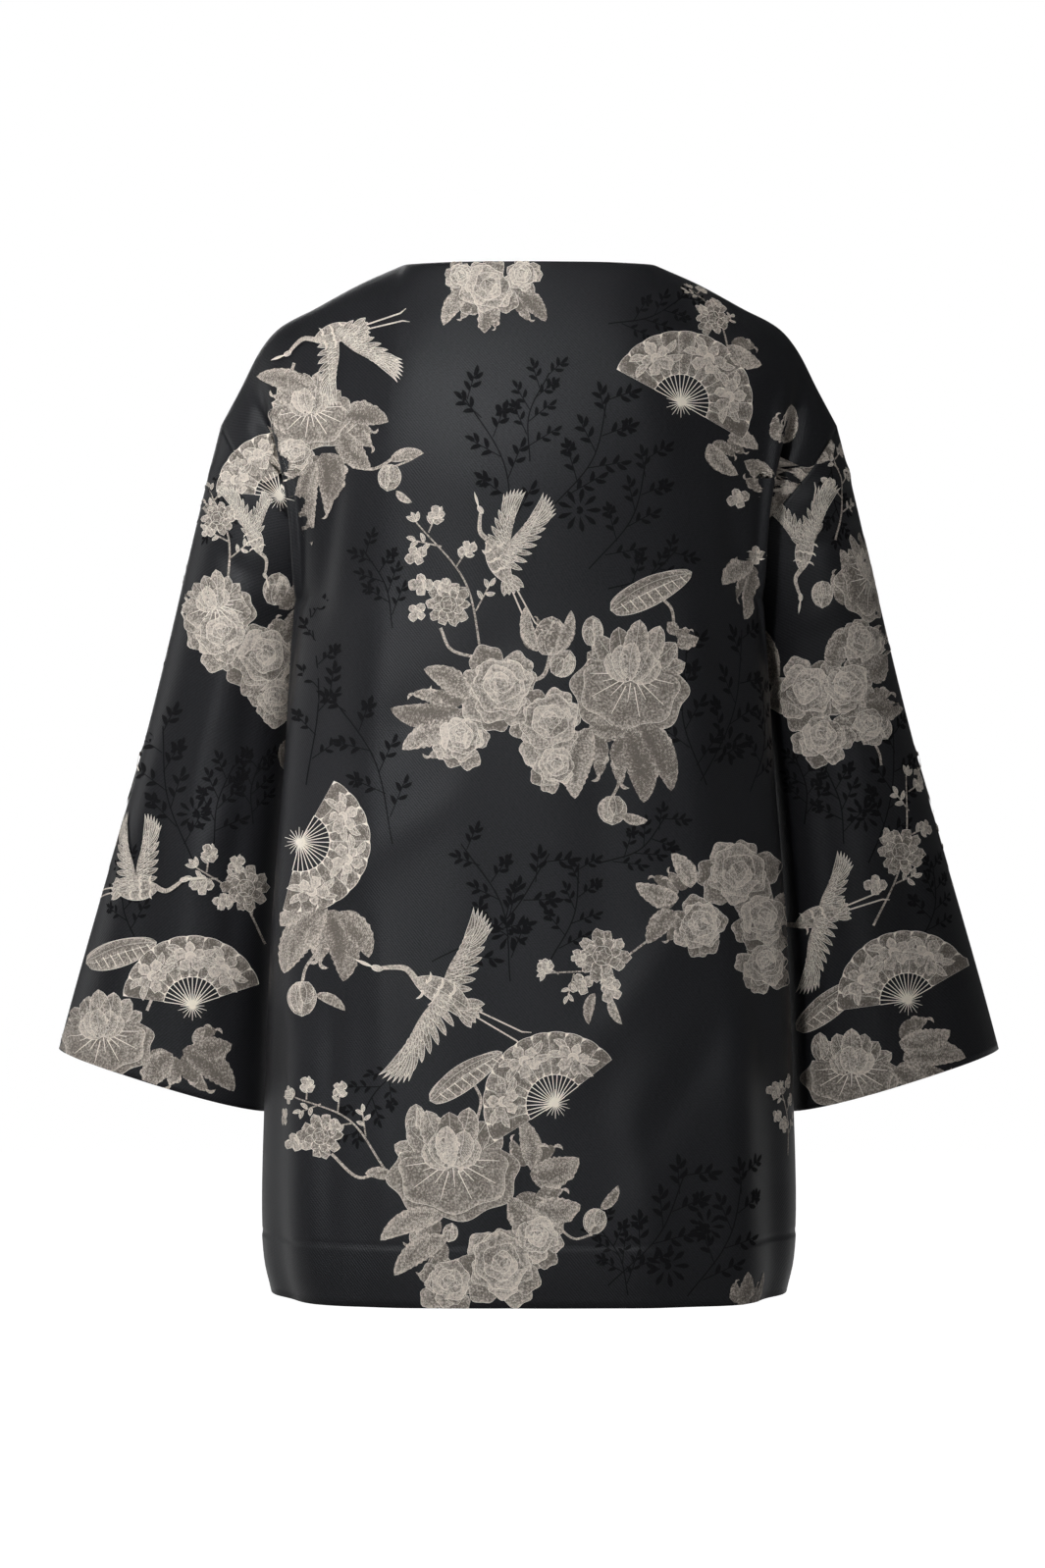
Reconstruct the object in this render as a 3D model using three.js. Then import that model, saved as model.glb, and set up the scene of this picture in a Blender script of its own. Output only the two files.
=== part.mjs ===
import * as THREE from "three";

// Kimono jacket, filled out as when worn, with open neck, cuffs, front and hem. Millimetres.
// X runs across the jacket, the back faces -Y, Z is up. The origin is the middle of the neck opening,
// at the height of the shoulder line. The right half is worked out and mirrored for the left half.

const WALL = 1.6; // thickness of the cloth
const HEM_WALL = 2.4; // thickness over the turned-up hem
const SEAM_GAP = 0.3; // space left between two pieces that are sewn together

const HEM_Z = -724; // level of the hem
const HEM_TURN = 40; // depth of the turned-up hem
const NECK_HALF = 90; // half the width of the neck opening
const NECK_BACK_Y = -72; // middle of the back neckline
const NECK_BACK_DIP = 4; // how far that middle lies under the shoulder line
const UNDERARM_Z = -238; // level where sleeve, back and front meet
const SIDE_Y = -18; // where the torso is widest, seen from above
const SIDE_SEAM_ANGLE = (106 * Math.PI) / 180; // turn from the centre back to the side seam
const BACK_SQUARENESS = 2.5; // exponent of the torso's section behind the widest place
const FRONT_SQUARENESS = 2; // and in front of it
const SHOULDER_ROUNDING = 170; // drop over which the shoulder turns into the back or the chest

// Half width of the torso, and how far back and front stand from the shoulder line, at each level.
const TORSO = [
  { z: -238, half: 161.5, back: 127, front: 112 },
  { z: -350, half: 172, back: 132, front: 121 },
  { z: -480, half: 182, back: 135, front: 126 },
  { z: -600, half: 186.5, back: 138, front: 128 },
  { z: -665, half: 188, back: 140, front: 130 },
  { z: -702, half: 186, back: 140, front: 130 },
  { z: -724, half: 181, back: 138, front: 128 },
];

// Half the gap between the two front edges below the neckline.
const FRONT_GAP = [
  { z: -238, half: 4 },
  { z: -480, half: 10 },
  { z: -724, half: 20 },
];

// Shoulder line from the neck to the top of the armhole seam.
const SHOULDER = [
  { x: 90, y: -8, z: 0 },
  { x: 120, y: -6, z: -13 },
  { x: 152, y: -4, z: -30 },
  { x: 177, y: -1, z: -43 },
  { x: 191, y: 1, z: -59 },
  { x: 205, y: 2, z: -86 },
  { x: 219, y: 4, z: -112 },
];

const ARMHOLE_DEPTH = 47; // bulge of the armhole seam to the back and to the front
const ARMHOLE_BOW_BACK = 16; // pull of its lower back part toward the body
const ARMHOLE_BOW_FRONT = 6; // and of its lower front part

// Outer and inner edge of the sleeve at the cuff, with the depth of the sleeve there.
const CUFF_OUTER = { x: 338, z: -558 };
const CUFF_INNER = { x: 188, z: -603 };
const CUFF_Y = 35;
const CUFF_HALF_DEPTH = 65;
const OUTER_HOLLOW = 4; // inward curve of the outer edge
const INNER_SPREAD = 27; // how fast the inner edge leaves the body under the arm

// The deep fold under each arm: the body stands over the cloth of the arm behind it.
const FOLD_COLUMN = 0.8; // place across the back, from its middle to its edge
const SIDE_TUCK = 12; // how far the side of the torso lies in under the arm, so that the sleeve clears it
const FOLD_RIDGE = { width: 0.045, out: 3, rear: 9 };
const FOLD_TROUGH = { width: 0.04, shift: 0.055, out: -6, rear: -13 };

// Soft lengthwise folds: place across (0 to 1), half width in the same measure, height, and their ends.
const BACK_FOLDS = [
  { at: 0.5, width: 0.1, height: -4.5, top: -130, foot: -560 },
  { at: 0.68, width: 0.09, height: 3.5, top: -150, foot: -640 },
  { at: 0.26, width: 0.09, height: 3, top: -330, foot: -900 },
  { at: 0.44, width: 0.08, height: 3.5, top: -480, foot: -900 },
  { at: 0.62, width: 0.08, height: -4, top: -520, foot: -900 },
];
const FRONT_FOLDS = [
  { at: 0.3, width: 0.12, height: -4.5, top: -180, foot: -620 },
  { at: 0.5, width: 0.12, height: 4, top: -260, foot: -900 },
  { at: 0.75, width: 0.12, height: -4, top: -330, foot: -900 },
];
const SLEEVE_FOLDS = [
  { at: 0.16, width: 0.06, height: 3.5, top: 0.2, foot: 1.2 },
  { at: 0.3, width: 0.06, height: -4, top: 0.1, foot: 0.9 },
  { at: 0.66, width: 0.06, height: 4, top: 0.3, foot: 1.3 },
  { at: 0.8, width: 0.07, height: -4, top: 0.15, foot: 1.1 },
];

// Mesh steps.
const UPPER_ROWS = 14; // neck and shoulder down to the underarm, and half the way round the armhole
const LOWER_ROWS = 10; // underarm down to the hem's turn-up
const NECK_COLUMNS = 8;
const SHOULDER_COLUMNS = 14;
const SLEEVE_ROWS = 16;

const mix = (a, b, t) => a + (b - a) * t;
const clamp = (t) => Math.min(1, Math.max(0, t));
const ease = (a, b, v) => {
  const t = clamp((v - a) / (b - a));
  return t * t * (3 - 2 * t);
};
const hump = (offset, width) => Math.exp(-((offset / width) ** 2));

// Reads a column of a table by another column, with a smooth curve through the rows.
function read(table, by, name, value) {
  const sign = Math.sign(table[1][by] - table[0][by]);
  let k = 0;
  while (k < table.length - 2 && sign * (value - table[k + 1][by]) > 0) k++;
  const at = (i) => table[Math.min(table.length - 1, Math.max(0, i))];
  const slope = (i) => {
    const a = at(i - 1);
    const b = at(i + 1);
    return (b[name] - a[name]) / (b[by] - a[by]);
  };
  const width = at(k + 1)[by] - at(k)[by];
  const t = clamp((value - at(k)[by]) / width);
  const t2 = t * t;
  const t3 = t2 * t;
  return (
    (2 * t3 - 3 * t2 + 1) * at(k)[name] +
    (t3 - 2 * t2 + t) * width * slope(k) +
    (3 * t2 - 2 * t3) * at(k + 1)[name] +
    (t3 - t2) * width * slope(k + 1)
  );
}

// Height of the soft folds of a table at one place.
function foldHeight(folds, across, down) {
  return folds.reduce((sum, f) => {
    const span = f.foot - f.top;
    const t = clamp((down - f.top) / span);
    return sum + f.height * hump(across - f.at, f.width) * Math.sin(Math.PI * t) ** 0.7;
  }, 0);
}

// Point of the torso at a level, turned from the centre back by an angle.
function torso(angle, z, lift = 0) {
  const s = Math.sin(angle);
  const c = Math.cos(angle);
  const n = c > 0 ? BACK_SQUARENESS : FRONT_SQUARENESS;
  const r = (Math.abs(s) ** n + Math.abs(c) ** n) ** (-1 / n);
  const half = read(TORSO, "z", "half", z);
  const depth = c > 0 ? read(TORSO, "z", "back", z) + SIDE_Y : read(TORSO, "z", "front", z) - SIDE_Y;
  return new THREE.Vector3((half + lift) * s * r, SIDE_Y - (depth + lift) * c * r, z);
}

// Point of the shoulder line, from the neck (0) to the armhole seam (1).
const shoulderLength = [0];
for (let i = 1; i < SHOULDER.length; i++) {
  const step = Math.hypot(SHOULDER[i].x - SHOULDER[i - 1].x, SHOULDER[i].z - SHOULDER[i - 1].z);
  shoulderLength.push(shoulderLength[i - 1] + step);
}
const shoulderTable = SHOULDER.map((p, i) => ({ ...p, share: shoulderLength[i] / shoulderLength.at(-1) }));
function shoulder(share) {
  const value = (name) => read(shoulderTable, "share", name, share);
  return new THREE.Vector3(value("x"), value("y"), value("z"));
}

// Inward tuck of the side under the arm; edge is 1 on the side seam and 0 at the middle of the panel.
const tuck = (edge, z) => {
  const across = ease(0.73, 0.82, edge) * (1 - 0.6 * clamp((edge - 0.85) / 0.15) ** 2.5);
  return SIDE_TUCK * across * ease(-120, UNDERARM_Z, z) * (1 - ease(UNDERARM_Z, -560, z));
};

// Upper part of a panel: from its top line down to the torso at the underarm. edge is 1 on the armhole
// seam and 0 at the middle, level runs from the top line (0) to the underarm (1), side is -1 behind.
function upper(top, foot, edge, level, side) {
  const turn = Math.PI * level;
  const arm = ease(0.55, 1, edge);
  const drop = mix(level ** 1.3, (1 - Math.cos(turn)) / 2, ease(0.2, 1, edge));
  const depth = clamp((-drop * UNDERARM_Z) / SHOULDER_ROUNDING);
  const round = (1 - (1 - depth) ** 2) ** mix(1, 0.5, ease(0.08, 0.32, edge));
  const bow = side < 0 ? ARMHOLE_BOW_BACK : ARMHOLE_BOW_FRONT;
  return new THREE.Vector3(
    mix(top.x, foot.x, drop) - bow * Math.sin(Math.PI * level ** 1.4) ** 4 * arm,
    mix(top.y, foot.y, mix(round, drop, arm)) + side * ARMHOLE_DEPTH * Math.sin(turn) * arm,
    mix(top.z, foot.z, drop),
  );
}

const lowerLevels = [];
for (let i = 1; i <= LOWER_ROWS; i++) lowerLevels.push(mix(UNDERARM_Z, HEM_Z + HEM_TURN + 2, i / LOWER_ROWS));
lowerLevels.push(HEM_Z + HEM_TURN - 2, HEM_Z + HEM_TURN / 2, HEM_Z);
const ROWS = UPPER_ROWS + lowerLevels.length;
const levelOf = (row) => (row <= UPPER_ROWS ? UNDERARM_Z : lowerLevels[row - UPPER_ROWS - 1]);

// Share of the way across the back at which the underarm fold lies.
const NECK_COLUMN = FOLD_COLUMN / 2;
const backColumn = (j) =>
  j <= NECK_COLUMNS
    ? (NECK_COLUMN * j) / NECK_COLUMNS
    : mix(NECK_COLUMN, 1, ((j - NECK_COLUMNS) / SHOULDER_COLUMNS) ** 0.92);

function backPoint(row, j) {
  const q = backColumn(j);
  const level = row / UPPER_ROWS;
  const foldAt = mix(0.68, 0.73, Math.min(1, level) ** 3);
  const s = q < FOLD_COLUMN ? (q / FOLD_COLUMN) * foldAt : mix(foldAt, 1, (q - FOLD_COLUMN) / (1 - FOLD_COLUMN));
  const z = levelOf(row);
  const angle = s * SIDE_SEAM_ANGLE;
  const point = torso(angle, z, row > UPPER_ROWS ? foldHeight(BACK_FOLDS, q, z) : 0);
  if (row <= UPPER_ROWS) {
    const top = new THREE.Vector3();
    if (j < NECK_COLUMNS) {
      top.x = (NECK_HALF * j) / NECK_COLUMNS;
      const arc = Math.sqrt(1 - (top.x / NECK_HALF) ** 2);
      top.y = mix(SHOULDER[0].y, NECK_BACK_Y, arc);
      top.z = -NECK_BACK_DIP * arc;
    } else {
      top.copy(shoulder((j - NECK_COLUMNS) / SHOULDER_COLUMNS));
    }
    point.copy(upper(top, point, s, level, -1));
    point.y -= foldHeight(BACK_FOLDS, q, point.z) * ease(0.2, 0.5, level) * (1 - ease(0.8, 1, q));
  }
  const open = ease(0.15, 0.5, level) * (1 - ease(-UNDERARM_Z, -UNDERARM_Z + 130, -z)) * (1 - ease(0.93, 1, q));
  const ridge = open * hump(q - FOLD_COLUMN, FOLD_RIDGE.width);
  const trough = open * (1 - ease(0.45, 0.75, level)) * hump(q - FOLD_COLUMN - FOLD_TROUGH.shift, FOLD_TROUGH.width);
  point.x += ridge * FOLD_RIDGE.out + trough * FOLD_TROUGH.out - tuck(s, point.z);
  point.y -= ridge * FOLD_RIDGE.rear + trough * FOLD_TROUGH.rear;
  return point;
}

// The front runs from the side and the armhole (column 0) to the front edge (last column).
function frontPoint(row, j) {
  const r = j / SHOULDER_COLUMNS;
  const z = levelOf(row);
  const half = read(TORSO, "z", "half", z);
  const edgeAngle = Math.PI - Math.asin(read(FRONT_GAP, "z", "half", z) / half);
  const fold = foldHeight(FRONT_FOLDS, r, z) * (1 - ease(0.9, 1, r));
  const foot = torso(mix(SIDE_SEAM_ANGLE, edgeAngle, r), z, row > UPPER_ROWS ? fold : 0);
  const point = row > UPPER_ROWS ? foot : upper(shoulder(1 - r), foot, 1 - r, row / UPPER_ROWS, 1);
  point.x -= tuck(1 - r, point.z);
  return point;
}

const grid = (rows, columns, pointOf) =>
  Array.from({ length: rows + 1 }, (_, i) => Array.from({ length: columns + 1 }, (_, j) => pointOf(i, j)));

const BACK_COLUMNS = NECK_COLUMNS + SHOULDER_COLUMNS;
const back = grid(ROWS, BACK_COLUMNS, backPoint);
const front = grid(ROWS, SHOULDER_COLUMNS, frontPoint);
for (let i = 0; i <= ROWS; i++) front[i][0].copy(i < UPPER_ROWS ? front[i][0] : back[i][BACK_COLUMNS]);

// The armhole seam as one loop: from the shoulder down the back to the underarm and up the front.
const armholeLoop = [
  ...back.slice(0, UPPER_ROWS).map((line) => line[BACK_COLUMNS]),
  ...front.slice(1, UPPER_ROWS + 1).map((line) => line[0]).reverse(),
];

// The sleeve as rings between its outer and inner edges. Column 0 is the outer edge, then the front.
const AROUND = 2 * UPPER_ROWS;
const kink = back[0][BACK_COLUMNS];
const underarm = back[UPPER_ROWS][BACK_COLUMNS];
const ARMHOLE_Y = (kink.y + underarm.y) / 2;
function sleeveRing(share, turn, lift = 0) {
  const hollow = Math.sin(Math.PI * share);
  const ox = mix(kink.x, CUFF_OUTER.x, share) - OUTER_HOLLOW * hollow ** 2;
  const oz = mix(kink.z, CUFF_OUTER.z, share);
  const ix = mix(underarm.x, CUFF_INNER.x, share) + INNER_SPREAD * Math.sqrt(share) * (1 - share);
  const iz = mix(underarm.z, CUFF_INNER.z, share);
  const along = Math.cos(turn);
  const half = Math.hypot(ox - ix, oz - iz) / 2;
  const reach = ((1 + lift / half) * along + 1) / 2;
  const y = mix(ARMHOLE_Y, CUFF_Y, share) - ((underarm.y - kink.y) / 2) * along * (1 - share);
  const depth = mix(ARMHOLE_DEPTH, CUFF_HALF_DEPTH, share) + lift;
  return new THREE.Vector3(mix(ix, ox, reach), y + depth * Math.sin(turn), mix(iz, oz, reach));
}
const sleeve = grid(SLEEVE_ROWS, AROUND - 1, (i, j) => {
  const share = (i / SLEEVE_ROWS) ** 1.1;
  const turn = (Math.PI * j) / UPPER_ROWS;
  const start = armholeLoop[(AROUND - j) % AROUND];
  const fold = foldHeight(SLEEVE_FOLDS, j / AROUND, share);
  const point = sleeveRing(share, turn, fold);
  const carried = start.clone().sub(sleeveRing(0, turn));
  return point.addScaledVector(carried, (1 - clamp(share / 0.16)) ** 2);
});

// Outward directions of the body and of the sleeve, and their sum, so that sewn pieces share them at the seam.
const key = (p) => [p.x, p.y, p.z].map((v) => Math.round(v * 1000)).join();
const outward = new Map();
const addTo = (map, at, vector) => map.set(at, (map.get(at) ?? new THREE.Vector3()).add(vector));
function addDirections(pieces, round) {
  const own = new Map();
  for (const points of pieces) {
    const columns = points[0].length;
    for (let i = 0; i + 1 < points.length; i++) {
      for (let j = 0; j + (round ? 0 : 1) < columns; j++) {
        const next = (j + 1) % columns;
        const corners = [points[i][j], points[i + 1][j], points[i + 1][next], points[i][next]];
        const face = corners[2].clone().sub(corners[0]).cross(corners[3].clone().sub(corners[1]));
        corners.forEach((p) => addTo(own, key(p), face));
      }
    }
  }
  own.forEach((sum, at) => addTo(outward, at, sum.normalize()));
}
addDirections([back, front], false);
addDirections([sleeve], true);
outward.set(key(underarm), new THREE.Vector3(0, 0, -1)); // the cloth turns over here, so it faces down
const directionAt = (p) => outward.get(key(p)).clone().normalize();

// Moves the edges of two sewn pieces apart by the seam gap. Each seam is a line of points; the first
// piece lies on the side that the line's direction crossed with the outward direction points to. Where the
// line starts at the underarm, the cloth turns over, so the outward direction is taken one step further on.
const shifts = new Map([back, front, sleeve].map((piece) => [piece, new Map()]));
function sew(line, first, second, { closed = false, skip = 0 } = {}) {
  const count = line.length;
  line.forEach((p, k) => {
    const before = line[closed ? (k + count - 1) % count : Math.max(0, k - 1)];
    const after = line[closed ? (k + 1) % count : Math.min(count - 1, k + 1)];
    const facing = directionAt(line[Math.max(k, skip)]);
    const aside = after.clone().sub(before).cross(facing).setLength(SEAM_GAP / 2);
    first.forEach((piece) => addTo(shifts.get(piece), key(p), aside));
    second.forEach((piece) => addTo(shifts.get(piece), key(p), aside.clone().negate()));
  });
}
sew(back[0].slice(NECK_COLUMNS), [back], [front]);
sew(back.slice(UPPER_ROWS).map((line) => line[BACK_COLUMNS]), [back], [front], { skip: 1 });
sew(armholeLoop, [back, front], [sleeve], { closed: true });

// Inner and outer point of the cloth at each place of a piece.
const hemWall = (row) => (row > UPPER_ROWS + LOWER_ROWS ? HEM_WALL : WALL);
function thicken(piece, wallOf, onCentre = () => false) {
  return piece.map((line, i) =>
    line.map((p, j) => {
      const n = directionAt(p);
      if (onCentre(j)) n.setX(0).normalize();
      const middle = p.clone().add(shifts.get(piece).get(key(p)) ?? new THREE.Vector3());
      return { inner: middle.clone().addScaledVector(n, -WALL / 2), outer: middle.addScaledVector(n, wallOf(i) - WALL / 2) };
    }),
  );
}
const mirrored = (p) => new THREE.Vector3(-p.x, p.y, p.z);
const mirrorNode = (node) => ({ inner: mirrored(node.inner), outer: mirrored(node.outer) });

// Closed skin of a piece: outer face, inner face and the rims between them. Below the underarm the rim is
// split along the other diagonal, like that of the piece sewn to it.
function skin(nodes, round, flip) {
  const rows = nodes.length;
  const columns = nodes[0].length;
  const flat = nodes.flat();
  const positions = [...flat.map((n) => n.outer), ...flat.map((n) => n.inner)].flatMap((p) => [p.x, p.y, p.z]);
  const index = [];
  const quad = (a, b, c, d) => (flip ? index.push(a, c, b, a, d, c) : index.push(a, b, c, a, c, d));
  const outer = (i, j) => i * columns + (j % columns);
  const inner = (i, j) => outer(i, j) + rows * columns;
  const cells = round ? columns : columns - 1;
  for (let i = 0; i + 1 < rows; i++) {
    for (let j = 0; j < cells; j++) {
      quad(outer(i, j), outer(i + 1, j), outer(i + 1, j + 1), outer(i, j + 1));
      quad(inner(i, j), inner(i, j + 1), inner(i + 1, j + 1), inner(i + 1, j));
    }
    if (!round) {
      quad(inner(i, 0), inner(i + 1, 0), outer(i + 1, 0), outer(i, 0));
      if (i < UPPER_ROWS) quad(outer(i, cells), outer(i + 1, cells), inner(i + 1, cells), inner(i, cells));
      else quad(inner(i, cells), outer(i, cells), outer(i + 1, cells), inner(i + 1, cells));
    }
  }
  for (let j = 0; j < cells; j++) {
    quad(inner(0, j), outer(0, j), outer(0, j + 1), inner(0, j + 1));
    quad(outer(rows - 1, j), inner(rows - 1, j), inner(rows - 1, j + 1), outer(rows - 1, j + 1));
  }
  const geometry = new THREE.BufferGeometry();
  geometry.setAttribute("position", new THREE.Float32BufferAttribute(positions, 3));
  geometry.setIndex(index);
  geometry.computeVertexNormals();
  return geometry;
}

const group = new THREE.Group();
group.name = "kimono_jacket";
function addPiece(name, nodes, round, flip, color) {
  const material = new THREE.MeshStandardMaterial({ color, roughness: 0.55, metalness: 0, side: THREE.DoubleSide });
  material.name = `${name}_satin`;
  const mesh = new THREE.Mesh(skin(nodes, round, flip), material);
  mesh.name = name;
  group.add(mesh);
}

const backNodes = thicken(back, hemWall, (j) => j === 0);
const wholeBack = backNodes.map((line) => [...line.slice(1).reverse().map(mirrorNode), ...line]);
const frontNodes = thicken(front, hemWall);
const sleeveNodes = thicken(sleeve, () => WALL);
const mirrorPiece = (nodes) => nodes.map((line) => line.map(mirrorNode));
addPiece("back", wholeBack, false, false, 0x2b2c30);
addPiece("right_front", frontNodes, false, false, 0x303136);
addPiece("left_front", mirrorPiece(frontNodes), false, true, 0x303136);
addPiece("right_sleeve", sleeveNodes, true, false, 0x35363b);
addPiece("left_sleeve", mirrorPiece(sleeveNodes), true, true, 0x35363b);

export default group;
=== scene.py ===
"""Kimono jacket in black satin brocade, filled out as when worn. Metres, the back faces -Y, Z is up."""

from collections import namedtuple

import bpy
import numpy as np
from bpy.props import FloatProperty, FloatVectorProperty, IntProperty, PointerProperty
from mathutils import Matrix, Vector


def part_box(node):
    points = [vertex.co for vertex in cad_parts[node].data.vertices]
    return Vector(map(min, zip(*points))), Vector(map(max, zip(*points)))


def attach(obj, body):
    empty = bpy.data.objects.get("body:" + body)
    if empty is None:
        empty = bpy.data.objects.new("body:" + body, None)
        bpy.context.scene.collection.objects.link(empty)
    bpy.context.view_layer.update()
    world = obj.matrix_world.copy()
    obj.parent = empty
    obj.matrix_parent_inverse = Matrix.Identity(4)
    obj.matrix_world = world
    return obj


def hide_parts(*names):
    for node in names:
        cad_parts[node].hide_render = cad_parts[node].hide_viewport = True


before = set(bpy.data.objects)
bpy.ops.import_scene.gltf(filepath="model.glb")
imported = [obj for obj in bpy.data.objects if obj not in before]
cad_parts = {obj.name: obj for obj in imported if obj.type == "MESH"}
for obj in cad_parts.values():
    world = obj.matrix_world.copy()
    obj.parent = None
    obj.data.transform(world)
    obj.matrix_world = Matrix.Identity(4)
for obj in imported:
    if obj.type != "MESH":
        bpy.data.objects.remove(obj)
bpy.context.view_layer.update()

bl_info = {
    "name": "Kimono jacket",
    "version": (1, 0, 0),
    "blender": (4, 5, 0),
    "location": "View3D > Sidebar > Kimono jacket",
    "description": "Builds a worn kimono jacket of satin brocade, with its stage",
    "category": "Add Mesh",
}

HEM_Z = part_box("back")[0].z
MM = 0.001

NECK_HALF = 90 * MM  # half the width of the neck opening
NECK_BACK_Y = -72 * MM  # middle of the back neckline
NECK_BACK_DIP = 4 * MM  # how far that middle lies under the shoulder line
UNDERARM_Z = -238 * MM  # level where sleeve, back and front meet
SIDE_Y = -18 * MM  # where the torso is widest, seen from above
SIDE_SEAM_ANGLE = np.radians(106)  # turn from the centre back to the side seam
BACK_SQUARENESS = 2.5  # exponent of the torso's section behind the widest place
FRONT_SQUARENESS = 2.0  # and in front of it
SHOULDER_ROUNDING = 170 * MM  # drop over which the shoulder turns into the back or the chest
ARMHOLE_DEPTH = 47 * MM  # bulge of the armhole seam to the back and to the front
ARMHOLE_BOW = {-1: 16 * MM, 1: 6 * MM}  # pull of its lower part toward the body, behind and in front
OUTER_HOLLOW = 4 * MM  # inward curve of the sleeve's outer edge
INNER_SPREAD = 27 * MM  # how fast the sleeve's inner edge leaves the body under the arm
SIDE_TUCK = 12 * MM  # how far the side of the torso lies in under the arm
FOLD_COLUMN = 0.8  # place of the underarm fold across the back, from its middle to its edge
NECK_COLUMN = FOLD_COLUMN / 2  # place of the neckline's corner

# Ridge and trough of the underarm fold: place beside it and half width across, then mm outward and in depth.
Bulge = namedtuple("Bulge", "shift width out rear")
FOLD_RIDGE = Bulge(0.0, 0.045, 3 * MM, 9 * MM)
FOLD_TROUGH = Bulge(0.055, 0.04, 6 * MM, 13 * MM)

# Mesh steps: down the part above the underarm, across a front, and down and round a sleeve.
UPPER_STEPS = 52
FRONT_STEPS = 60
SLEEVE_STEPS = 104
ROUND_STEPS = 112
CROWDING = 1.05  # power that draws rows together toward the top
STITCH_BAND = 6  # mm on either side of the hem's stitches where the rows are closer

# Half width of the torso, and how far back and front stand from the shoulder line, at each level, in mm.
TORSO = {
    "z": (-238, -350, -480, -600, -665, -702, -724),
    "half": (161.5, 172, 182, 186.5, 188, 186, 181),
    "back": (127, 132, 135, 138, 140, 140, 138),
    "front": (112, 121, 126, 128, 130, 130, 128),
}
# Half the gap between the two front edges below the neckline, in mm.
FRONT_GAP = {"z": (-238, -480, -724), "half": (4, 10, 20)}
# Shoulder line from the neck to the top of the armhole seam, in mm.
SHOULDER = {
    "x": (90, 120, 152, 177, 191, 205, 219),
    "y": (-8, -6, -4, -1, 1, 2, 4),
    "z": (0, -13, -30, -43, -59, -86, -112),
}
SHOULDER["share"] = np.append(0, np.cumsum(np.hypot(np.diff(SHOULDER["x"]), np.diff(SHOULDER["z"]))))
SHOULDER["share"] /= SHOULDER["share"][-1]

# Soft fold: place and half width as shares across, height in mm, and its two ends, in mm of level on the
# body and as shares of the length on a sleeve.
Fold = namedtuple("Fold", "at width height top foot")
BACK_FOLDS = (
    Fold(0.46, 0.15, 6, -60, -1100),
    Fold(0.50, 0.10, -4.5, -130, -560),
    Fold(0.68, 0.09, 3.5, -150, -640),
    Fold(0.26, 0.09, 3.0, -330, -900),
    Fold(0.44, 0.08, 3.5, -480, -900),
    Fold(0.62, 0.08, -4.0, -520, -900),
)
FRONT_FOLDS = (
    Fold(0.30, 0.12, -4.5, -180, -620),
    Fold(0.50, 0.12, 4.0, -260, -900),
    Fold(0.75, 0.12, -4.0, -330, -900),
)
SLEEVE_FOLDS = (
    Fold(0.16, 0.06, 3.5, 0.20, 1.2),
    Fold(0.30, 0.06, -4.0, 0.10, 0.9),
    Fold(0.66, 0.06, 4.0, 0.30, 1.3),
    Fold(0.80, 0.07, -4.0, 0.15, 1.1),
)


def mix(a, b, t):
    """Straight blend from a, at t = 0, to b, at t = 1."""
    return a + (b - a) * t


def clamp(t):
    """Number held between 0 and 1."""
    return np.clip(t, 0.0, 1.0)


def ease(a, b, v):
    """Smooth step from 0 at a to 1 at b."""
    t = clamp((v - a) / (b - a))
    return t * t * (3 - 2 * t)


def hump(offset, width):
    """Bell curve: 1 at no offset, falling as the exponential of minus the square of offset over width."""
    return np.exp(-((offset / width) ** 2))


def read(table, by, name, value):
    """Smooth curve through a table: cubic pieces whose slopes are those between the rows on either side."""
    xs, ys = np.array(table[by], float), np.array(table[name], float)
    if xs[0] > xs[-1]:
        xs, ys = xs[::-1], ys[::-1]
    ends = np.clip(np.array([np.arange(len(xs)) - 1, np.arange(len(xs)) + 1]), 0, len(xs) - 1)
    slopes = (ys[ends[1]] - ys[ends[0]]) / (xs[ends[1]] - xs[ends[0]])
    value = np.clip(value, xs[0], xs[-1])
    k = np.clip(np.searchsorted(xs, value) - 1, 0, len(xs) - 2)
    width = xs[k + 1] - xs[k]
    t = (value - xs[k]) / width
    return (
        (2 * t**3 - 3 * t**2 + 1) * ys[k]
        + (t**3 - 2 * t**2 + t) * width * slopes[k]
        + (3 * t**2 - 2 * t**3) * ys[k + 1]
        + (t**3 - t**2) * width * slopes[k + 1]
    )


def fold_height(folds, across, down):
    """Sum of soft folds in metres: each a bell across, rising and falling between its two ends."""
    total = np.zeros(np.broadcast(across, down).shape)
    for f in folds:
        t = clamp((down - f.top) / (f.foot - f.top))
        total = total + f.height * MM * hump(across - f.at, f.width) * np.sin(np.pi * t) ** 0.7
    return total


def torso(angle, z, lift=0.0):
    """Section of the torso: a rounded rectangle behind and an ellipse in front, turned from the centre back."""
    s, c = np.sin(angle), np.cos(angle)
    n = np.where(c > 0, BACK_SQUARENESS, FRONT_SQUARENESS)
    r = (np.abs(s) ** n + np.abs(c) ** n) ** (-1 / n)
    half = read(TORSO, "z", "half", z / MM) * MM
    behind = read(TORSO, "z", "back", z / MM) * MM + SIDE_Y
    ahead = read(TORSO, "z", "front", z / MM) * MM - SIDE_Y
    depth = np.where(c > 0, behind, ahead)
    return np.stack([(half + lift) * s * r, SIDE_Y - (depth + lift) * c * r, z + 0 * s], -1)


def shoulder(share):
    """Point of the shoulder line, from the neck (0) to the armhole seam (1)."""
    return np.stack([read(SHOULDER, "share", name, share) * MM for name in "xyz"], -1)


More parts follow.
